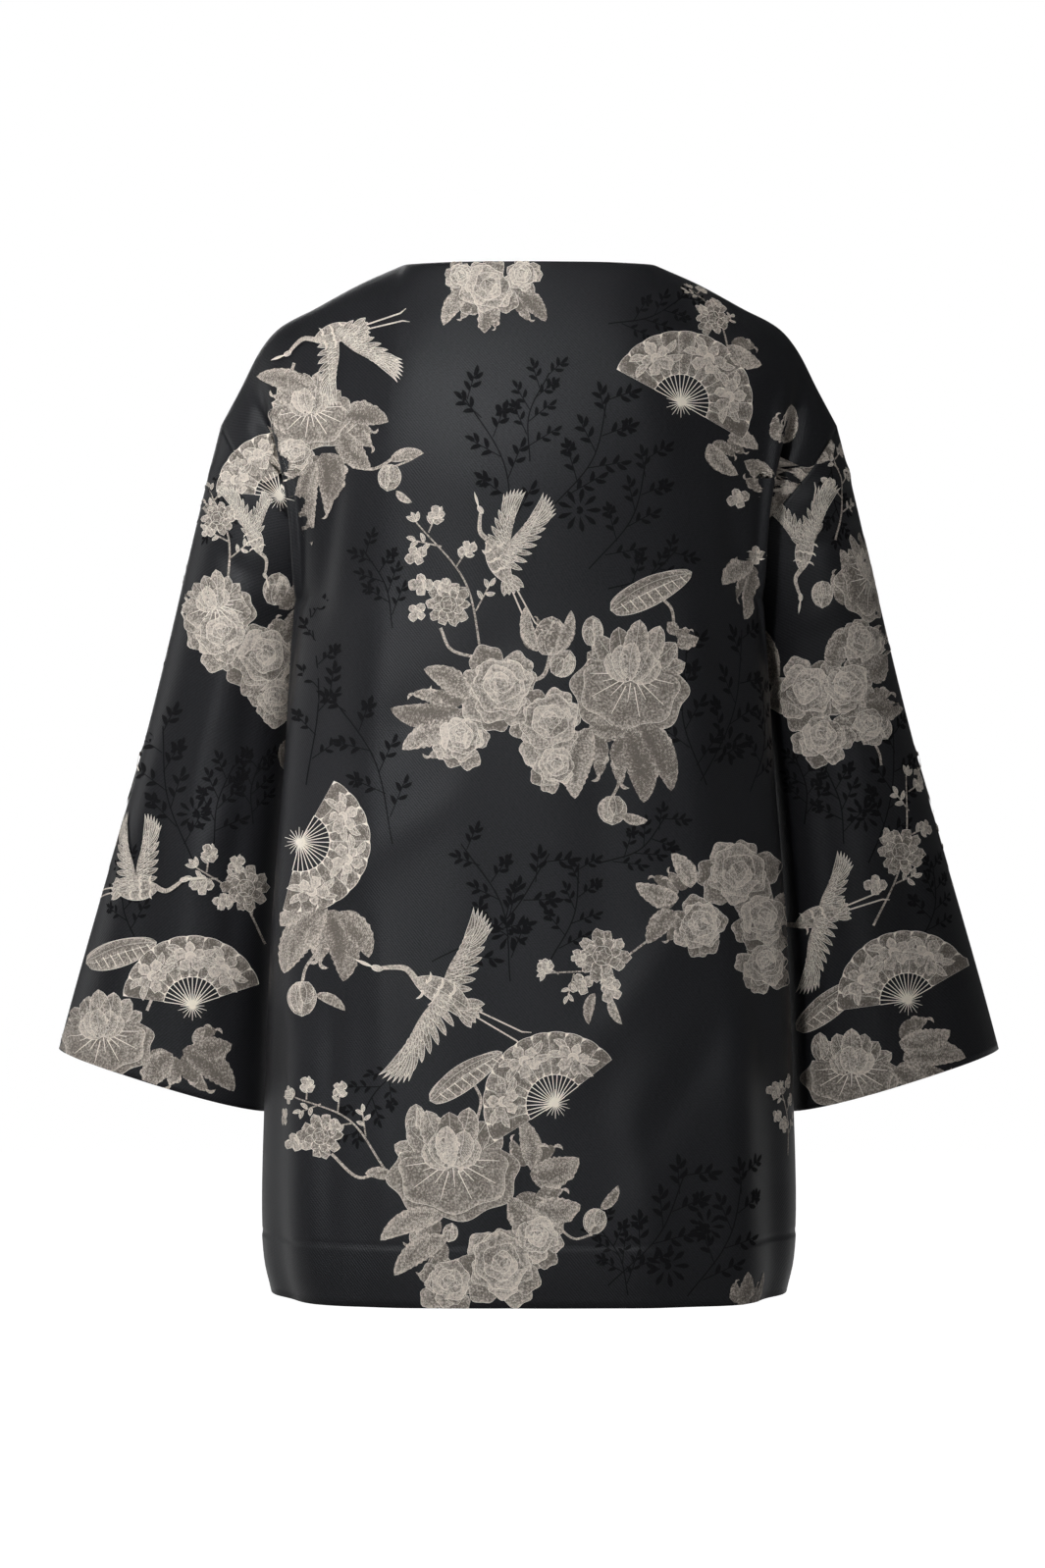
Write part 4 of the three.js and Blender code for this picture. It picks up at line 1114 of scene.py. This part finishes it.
def add_piece(name, mesh, material):
    """Object for a mesh, in place of one that an earlier run made."""
    old = bpy.data.objects.get(name)
    if old:
        bpy.data.objects.remove(old)
    piece = bpy.data.objects.new(name, mesh)
    bpy.context.scene.collection.objects.link(piece)
    mesh.materials.append(material)
    return piece


class Socket:
    """A node's output that can be used in arithmetic; each operation adds a Math node."""

    def __init__(self, shader, output):
        self.shader, self.output = shader, output

    def math(self, operation, *values):
        """Math node of one operation on sockets or numbers."""
        return self.shader.node("ShaderNodeMath", {"operation": operation}, dict(enumerate(values)))

    def __add__(self, other):
        return self.math("ADD", self, other)

    __radd__ = __add__

    def __sub__(self, other):
        return self.math("SUBTRACT", self, other)

    def __rsub__(self, other):
        return self.math("SUBTRACT", other, self)

    def __mul__(self, other):
        return self.math("MULTIPLY", self, other)

    __rmul__ = __mul__

    def sine(self):
        """Sine, for even ridges."""
        return self.math("SINE", self)

    def step(self, low, high):
        """Smooth step from 0 at low to 1 at high."""
        settings = {"interpolation_type": "SMOOTHSTEP"}
        return self.shader.node("ShaderNodeMapRange", settings, {"Value": self, "From Min": low, "From Max": high})


class Shader:
    """A material's node tree, with its Principled shader."""

    def __init__(self, name):
        self.material = bpy.data.materials.new(name)
        self.material.use_nodes = True
        self.tree = self.material.node_tree
        self.surface = self.tree.nodes["Principled BSDF"]

    def node(self, kind, settings=None, inputs=None, output=0):
        """Adds a node, sets its settings, then values or links of its sockets, and gives one output."""
        node = self.tree.nodes.new(kind)
        for key, value in (settings or {}).items():
            setattr(node, key, value)
        for key, value in (inputs or {}).items():
            self.feed(node.inputs[key], value)
        return Socket(self, node.outputs[output])

    def feed(self, socket, value):
        """Links a socket to an output, or sets its value."""
        if isinstance(value, Socket):
            self.tree.links.new(value.output, socket)
        else:
            socket.default_value = value

    def blend(self, factor, a, b):
        """Colour between a and b."""
        inputs = {0: factor, 6: a, 7: b}
        return self.node("ShaderNodeMix", {"data_type": "RGBA"}, inputs, 2)

    def noise(self, scale, detail=2.0, vector=None):
        """Cloudy noise on Object coordinates, or on a vector of its own."""
        vector = vector or self.node("ShaderNodeTexCoord", output="Object")
        return self.node("ShaderNodeTexNoise", {}, {"Vector": vector, "Scale": scale, "Detail": detail})

    def parts(self, vector):
        """The three parts of a vector."""
        node = self.tree.nodes.new("ShaderNodeSeparateXYZ")
        self.feed(node.inputs[0], vector)
        return [Socket(self, out) for out in node.outputs]

    def finish(self, color, roughness, height=None, bump=0.0, distance=0.0, **constants):
        """Feeds the Principled shader; a height goes through a Bump node, and constants are set on their sockets."""
        self.feed(self.surface.inputs["Base Color"], color)
        self.feed(self.surface.inputs["Roughness"], roughness)
        for key, value in constants.items():
            self.surface.inputs[key.replace("_", " ")].default_value = value
        if height is not None:
            inputs = {"Strength": bump, "Distance": distance, "Height": height}
            self.feed(self.surface.inputs["Normal"], self.node("ShaderNodeBump", {}, inputs))
        return self.material


def rgba(color):
    """Opaque colour of three parts."""
    return (*color, 1.0)


# Noise scales on the flat cloth, in 1/m: the satin's threads are long across it and fine down it.
SATIN_THREADS = (420.0, 1500.0, 1.0)
WEFT_PITCH = 1.3  # mm between the slanting stitches of the brocade


def satin_material(name, colors, sizes):
    """Black satin: soft cloudy depth, fine threads across, a faint diagonal twill and a low sheen."""
    shader = Shader(name)
    flat = shader.node("ShaderNodeUVMap", {"uv_map": "flat"})
    u, v, _ = shader.parts(flat)
    twill = ((u - v * 0.8) * (2 * np.pi / sizes.twill_pitch)).sine()
    across = shader.node("ShaderNodeVectorMath", {"operation": "MULTIPLY"}, {0: flat, 1: SATIN_THREADS})
    threads = shader.noise(1.0, 2.0, across)
    cloud = shader.noise(9.0, 3.0)
    tone = (cloud * 0.5 + threads * 1.3 + twill * 0.14).step(0.55, 1.25)
    color = shader.blend(tone, rgba(colors.ground_deep), rgba(colors.ground))
    rough = cloud * 0.10 + threads * 0.12 + 0.40
    return shader.finish(
        color, rough, threads + twill * 0.2, bump=0.5, distance=0.0004,
        Specular_IOR_Level=0.26, Specular_Tint=(0.95, 0.975, 1.0, 1.0),
    )


def brocade_material(name, dark, light, thread, rough=0.62, drawn=1.0, gloss=0.25):
    """Brocade: tone from the shape, pale outline and midrib threads, slanting weft stitches and cloudy flecks."""
    shader = Shader(name)
    layer = shader.tree.nodes.new("ShaderNodeAttribute")
    layer.attribute_name = "threads"
    edge, along, tone = shader.parts(Socket(shader, layer.outputs["Color"]))
    midline = Socket(shader, layer.outputs["Alpha"])
    flecks = shader.noise(760.0, 2.0)
    patches = shader.noise(95.0, 3.0)
    weft = ((along + midline * 0.55) * (2 * np.pi / WEFT_PITCH)).sine()
    deep = edge.step(0.5, 5.0)
    body = (tone * 0.95 + flecks * 1.5 + patches * 0.5 + weft * 0.1 - deep * 0.22 - 0.93).step(0.0, 1.0)
    outline = 1 - (edge + flecks * 0.25).step(0.32, 0.54)
    rib = (1 - (midline + flecks * 0.2).step(0.2, 0.42)) * 0.6
    line = outline.math("MAXIMUM", outline, rib)
    base = shader.blend(body, rgba(dark), rgba(light))
    color = shader.blend(line * (0.92 * drawn), base, rgba(thread))
    height = line * 0.7 + weft * 0.2 + flecks * 0.5
    return shader.finish(color, rough, height, bump=0.5, distance=0.0006, Specular_IOR_Level=gloss)


class JacketSizes(bpy.types.PropertyGroup):
    """Sizes of the cloth and the sleeves, and how fine the body's mesh is"""

    wall: FloatProperty(
        name="Wall", description="Thickness of the cloth",
        default=1.6 * MM, unit="LENGTH",
    )
    hem_extra: FloatProperty(
        name="Hem extra", description="Extra thickness of the turned-up hem",
        default=0.5 * MM, unit="LENGTH",
    )
    hem_turn: FloatProperty(
        name="Hem turn", description="Depth of the turned-up hem",
        default=40 * MM, unit="LENGTH",
    )
    cuff_outer_x: FloatProperty(
        name="Cuff outer side", description="How far out the cuff reaches",
        default=338 * MM, unit="LENGTH",
    )
    cuff_outer_z: FloatProperty(
        name="Cuff outer level", description="Level of the cuff's outer end",
        default=-558 * MM, unit="LENGTH",
    )
    cuff_inner_x: FloatProperty(
        name="Cuff inner side", description="Distance of the cuff's inner end from the middle",
        default=188 * MM, unit="LENGTH",
    )
    cuff_inner_z: FloatProperty(
        name="Cuff inner level", description="Level of the cuff's inner end",
        default=-603 * MM, unit="LENGTH",
    )
    cuff_y: FloatProperty(
        name="Cuff forward", description="How far forward the cuff hangs",
        default=35 * MM, unit="LENGTH",
    )
    cuff_depth: FloatProperty(
        name="Cuff depth", description="Depth of the cuff from back to front",
        default=130 * MM, unit="LENGTH",
    )
    twill_pitch: FloatProperty(
        name="Twill pitch", description="Spacing of the twill's ridges",
        default=2.1 * MM, unit="LENGTH",
    )
    brocade_lift: FloatProperty(
        name="Brocade lift", description="Height of the brocade over the satin",
        default=0.25 * MM, unit="LENGTH",
    )
    columns: IntProperty(name="Columns", description="Mesh steps across half the back", default=80)
    rows: IntProperty(name="Rows", description="Mesh steps down the body below the underarm", default=84)


class JacketColors(bpy.types.PropertyGroup):
    """Colours of the satin and of the threads woven into it"""

    ground: FloatVectorProperty(
        name="Ground", description="Satin ground",
        subtype="COLOR", default=(0.0205, 0.0208, 0.0240),
    )
    ground_deep: FloatVectorProperty(
        name="Ground in depth", description="Satin ground where it is darkest",
        subtype="COLOR", default=(0.0085, 0.0087, 0.0100),
    )
    brocade: FloatVectorProperty(
        name="Brocade", description="Pale brocade",
        subtype="COLOR", default=(0.76, 0.68, 0.60),
    )
    brocade_deep: FloatVectorProperty(
        name="Brocade in depth", description="Brocade where it is darkest",
        subtype="COLOR", default=(0.15, 0.130, 0.112),
    )
    thread: FloatVectorProperty(
        name="Outline thread", description="Palest thread of outlines and ribs",
        subtype="COLOR", default=(0.97, 0.91, 0.81),
    )
    shadow: FloatVectorProperty(
        name="Tone on tone", description="Black sprigs woven into the ground",
        subtype="COLOR", default=(0.0075, 0.0075, 0.0085),
    )


def row_places(sizes):
    """Row places from 0 to 2: closer where the shoulder turns and along the stitches of the hem."""
    high = np.linspace(0, 1, UPPER_STEPS + 1)[:-1] ** CROWDING
    stitches = 1 - (sizes.hem_turn + np.linspace(-STITCH_BAND, STITCH_BAND, 13) * MM) / (UNDERARM_Z - HEM_Z)
    low = np.concatenate([np.linspace(0, 1, sizes.rows + 1), stitches])
    return np.concatenate([high, 1 + np.unique(low)])[:, None]


def hem_ridge(cloth, sizes):
    """Extra thickness over the turned-up hem, with a shallow stitched groove along its top."""
    edge, groove_at, groove_half, groove_deep = 1.5 * MM, 3 * MM, 1.4 * MM, 0.25 * MM
    above = cloth.points[..., 2] - HEM_Z - sizes.hem_turn
    return sizes.hem_extra * (1 - ease(-edge, edge, above)) - groove_deep * hump(above - groove_at, groove_half)


BROCADE_LAYER = 0.012 * MM  # how much higher each shape of a motif lies than the one before
SPRIG_LAYER = 0.001 * MM


def dress(cloth, name, layouts, shadows, sizes, colors):
    """Adds one panel's cloth, its pale brocade and its tone-on-tone sprigs."""
    shared = bpy.data.materials
    satin = shared.get("black_satin") or satin_material("black_satin", colors, sizes)
    pale = shared.get("pale_brocade") or brocade_material(
        "pale_brocade", colors.brocade_deep, colors.brocade, colors.thread
    )
    lighter, lightest = [tuple(gain * c for c in colors.shadow) for gain in (1.3, 1.6)]
    black = shared.get("shadow_brocade") or brocade_material(
        "shadow_brocade", colors.shadow, lighter, lightest, rough=0.85, drawn=0.5, gloss=0.08
    )
    extra = hem_ridge(cloth, sizes) if "sleeve" not in name else np.zeros(cloth.points.shape[:2])
    panel = add_piece(f"{name}_cloth", cloth.shell_mesh(name, sizes.wall, extra), satin)
    outer = Cloth(cloth.points + cloth.normals * (sizes.wall / 2 + extra)[..., None], cloth.closed, cloth.flip)
    woven = [
        weave_motifs(f"{name}_brocade", outer, layouts, sizes.brocade_lift, BROCADE_LAYER, pale),
        weave_motifs(f"{name}_sprigs", outer, shadows, 0.5 * sizes.brocade_lift, SPRIG_LAYER, black),
    ]
    for piece in [panel, *woven]:
        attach(piece, "root")
    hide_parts(name)
    declare(cloth)


def declare(cloth):
    """Measures the flat size of what shows of a panel along the cloth, but neither states nor keeps it."""
    steps_across = np.linalg.norm(np.diff(cloth.points, axis=1), axis=-1).sum(1)
    steps_down = np.linalg.norm(np.diff(cloth.points, axis=0), axis=-1).sum(0)
    cells = np.cross(
        cloth.points[1:, 1:] - cloth.points[:-1, :-1], cloth.points[1:, :-1] - cloth.points[:-1, 1:]
    )


SOFTENING_PASSES = 110


class JACKET_OT_back(bpy.types.Operator):
    """Adds the back panel with its brocade"""

    bl_idname = "jacket.back"
    bl_label = "Back"

    def execute(self, context):
        sizes, colors = context.scene.jacket_sizes, context.scene.jacket_colors
        across = np.linspace(-1, 1, 2 * sizes.columns + 1)[None]
        cloth = Cloth(back_points(row_places(sizes), across))
        z = cloth.points[..., 2]
        below_neckline = ease(0, 0.03, z[:1] - z)
        middle = 1 - ease(0.6, 0.76, np.abs(across))
        cloth.soften(SOFTENING_PASSES, below_neckline * ease(-0.34, -0.22, z) * middle)
        cloth.crease(BACK_CREASES, BEHIND)
        dress(cloth, "back", [(BACK_MOTIFS, BEHIND)], [(BACK_SHADOWS, BEHIND)], sizes, colors)
        return {"FINISHED"}


class JACKET_OT_fronts(bpy.types.Operator):
    """Adds the two fronts with their brocade"""

    bl_idname = "jacket.fronts"
    bl_label = "Fronts"

    def execute(self, context):
        sizes, colors = context.scene.jacket_sizes, context.scene.jacket_colors
        across = np.linspace(0, 1, FRONT_STEPS + 1)[None]
        right = Cloth(front_points(row_places(sizes), across))
        right.crease(FRONT_CREASES, AHEAD)
        left = right.mirrored()
        left_motifs, left_dark = shifted(RIGHT_FRONT_MOTIFS, *LEFT_SHIFT), shifted(FRONT_SHADOWS, *LEFT_SHIFT)
        pieces = (
            (right, "right_front", RIGHT_FRONT_MOTIFS, FRONT_SHADOWS),
            (left, "left_front", left_motifs, left_dark),
        )
        for cloth, name, motifs, dark in pieces:
            dress(cloth, name, [(motifs, AHEAD)], [(dark, AHEAD)], sizes, colors)
        return {"FINISHED"}


class JACKET_OT_sleeves(bpy.types.Operator):
    """Adds the two sleeves with their brocade"""

    bl_idname = "jacket.sleeves"
    bl_label = "Sleeves"

    def execute(self, context):
        sizes, colors = context.scene.jacket_sizes, context.scene.jacket_colors
        share = np.linspace(0, 1, SLEEVE_STEPS + 1)[:, None] ** CROWDING
        around = np.linspace(0, 1, ROUND_STEPS + 1)[None]
        right = Cloth(sleeve_points(share, around), closed=True)
        left = right.mirrored()
        right.crease(RIGHT_SLEEVE_CREASES, BEHIND)
        left.crease(LEFT_SLEEVE_CREASES, BEHIND)
        right_dark, left_dark = SLEEVE_SHADOWS, mirror_motifs(SLEEVE_SHADOWS)
        pieces = (
            (
                right, "right_sleeve",
                [(RIGHT_SLEEVE_MOTIFS, BEHIND), (mirror_motifs(LEFT_SLEEVE_MOTIFS), AHEAD), (SIDE_MOTIFS, RIGHT)],
                [(right_dark, BEHIND), (right_dark, AHEAD)],
            ),
            (
                left, "left_sleeve",
                [(LEFT_SLEEVE_MOTIFS, BEHIND), (mirror_motifs(RIGHT_SLEEVE_MOTIFS), AHEAD), (SIDE_MOTIFS, LEFT)],
                [(left_dark, BEHIND), (left_dark, AHEAD)],
            ),
        )
        for cloth, name, motifs, dark in pieces:
            dress(cloth, name, motifs, dark, sizes, colors)
        return {"FINISHED"}


class JACKET_OT_stage(bpy.types.Operator):
    """Adds the floor, the lights and the camera"""

    bl_idname = "jacket.stage"
    bl_label = "Stage"

    def execute(self, context):
        scene = context.scene
        side, line = np.linspace(-FLOOR_REACH, FLOOR_REACH, FLOOR_STEPS + 1), FLOOR_STEPS + 1
        grid = np.stack(np.broadcast_arrays(side[None], side[:, None], FLOOR_Z), -1)
        i, j = np.meshgrid(np.arange(FLOOR_STEPS), np.arange(FLOOR_STEPS), indexing="ij")
        k = i * line + j
        quads = np.stack([k, k + 1, k + line + 1, k + line], -1).reshape(-1, 4)
        mesh = bpy.data.meshes.new("floor")
        mesh.from_pydata(grid.reshape(-1, 3).tolist(), [], quads.tolist())
        shader = Shader("pale_floor")
        grain = shader.noise(3.0)
        color = shader.blend(grain, (0.80, 0.80, 0.80, 1), (0.84, 0.84, 0.84, 1))
        # The floor glows a little, so that it runs into the white background.
        aside, depth, _ = shader.parts(shader.node("ShaderNodeTexCoord", output="Object"))
        around = (aside * aside + depth * depth).step(2.0, 14.0)
        direct = shader.node("ShaderNodeLightPath", output="Is Camera Ray")
        pale = direct * 0.6 + depth.step(1.5, 2.5) * 0.65 + around * 0.35
        glow = shader.blend(pale, (0.0, 0.0, 0.0, 1), (1.0, 1.0, 1.0, 1))
        shader.surface.inputs["Emission Strength"].default_value = 1.0
        shader.feed(shader.surface.inputs["Emission Color"], glow)
        floor = add_piece("floor", mesh, shader.finish(color, 0.9, Specular_IOR_Level=0.1))
        lights = (
            # name, place, aimed at, width, height, power, share of the gloss, spread in degrees
            ("key", (-0.78, -2.8, 1.4), (-0.13, 0, -0.34), 0.45, 1.1, 1.85, 1.0, 16),
            ("fill", (-0.2, -3.2, 0.5), (0, 0, -0.3), 1.6, 1.2, 1.4, 0.5, 180),
            ("rim", (-2.4, 0.9, 0.1), (0, 0, -0.4), 0.8, 1.8, 12, 0.6, 180),
            ("overhead", (-0.2, -0.4, 2.4), (0, 0, 0), 1.4, 1.0, 7, 0.4, 180),
            ("front", (-0.5, 3.2, 0.5), (0, 0, -0.4), 1.6, 1.6, 45, 0.15, 180),
        )
        for name, place, aim, width, height, power, gloss, spread in lights:
            lamp = bpy.data.lights.new(name, "AREA")
            lamp.spread = np.radians(spread)
            lamp.shape, lamp.size, lamp.size_y = "RECTANGLE", width, height
            lamp.energy, lamp.specular_factor = power, gloss
            holder = bpy.data.objects.new(name, lamp)
            scene.collection.objects.link(holder)
            aim_at(holder, place, aim)
        world = bpy.data.worlds.new("studio")
        world.use_nodes = True
        nodes, links = world.node_tree.nodes, world.node_tree.links
        seen = nodes.new("ShaderNodeLightPath")
        strength = nodes.new("ShaderNodeMapRange")
        strength.inputs["To Min"].default_value = WORLD_LIGHT
        strength.inputs["To Max"].default_value = 1.0
        links.new(seen.outputs["Is Camera Ray"], strength.inputs["Value"])
        links.new(strength.outputs[0], nodes["Background"].inputs["Strength"])
        nodes["Background"].inputs["Color"].default_value = (1, 1, 1, 1)
        scene.world = world
        scene.view_settings.view_transform = "Standard"
        lens = bpy.data.cameras.new("camera")
        lens.sensor_fit = "VERTICAL"
        lens.sensor_height = SENSOR
        lens.lens = SENSOR * VIEW_DISTANCE / FRAME_HEIGHT
        camera = bpy.data.objects.new("camera", lens)
        scene.collection.objects.link(camera)
        aim_at(camera, (VIEW_X, -VIEW_DISTANCE, VIEW_Z), (VIEW_X, 0, VIEW_Z))
        scene.camera = camera
        return {"FINISHED"}


def aim_at(thing, place, aim):
    """Puts a light or the camera at a place and turns it toward another."""
    place, aim = np.array(place, float), np.array(aim, float)
    thing.location = place
    run = aim - place
    thing.rotation_euler = (
        np.arctan2(np.hypot(run[0], run[1]), -run[2]), 0, np.arctan2(run[1], run[0]) - np.pi / 2,
    )


class JACKET_PT_panel(bpy.types.Panel):
    """Lists the jacket's pieces"""

    bl_label = "Kimono jacket"
    bl_idname = "JACKET_PT_panel"
    bl_space_type = "VIEW_3D"
    bl_region_type = "UI"
    bl_category = "Kimono jacket"

    def draw(self, context):
        for name in JacketSizes.__annotations__:
            self.layout.prop(context.scene.jacket_sizes, name)
        for name in JacketColors.__annotations__:
            self.layout.prop(context.scene.jacket_colors, name)
        for operator in OPERATORS:
            self.layout.operator(operator.bl_idname)


OPERATORS = (JACKET_OT_back, JACKET_OT_fronts, JACKET_OT_sleeves, JACKET_OT_stage)
CLASSES = (JacketSizes, JacketColors, *OPERATORS, JACKET_PT_panel)


def register():
    """Makes the classes known and puts their settings on the scene."""
    for cls in CLASSES:
        bpy.utils.register_class(cls)
    bpy.types.Scene.jacket_sizes = PointerProperty(type=JacketSizes)
    bpy.types.Scene.jacket_colors = PointerProperty(type=JacketColors)


def unregister():
    """Takes the settings and the classes away again."""
    del bpy.types.Scene.jacket_colors
    del bpy.types.Scene.jacket_sizes
    for cls in reversed(CLASSES):
        bpy.utils.unregister_class(cls)


def main():
    """Builds the jacket and its stage."""
    register()
    bpy.ops.jacket.back()
    bpy.ops.jacket.fronts()
    bpy.ops.jacket.sleeves()
    bpy.ops.jacket.stage()


if __name__ == "__main__":
    main()
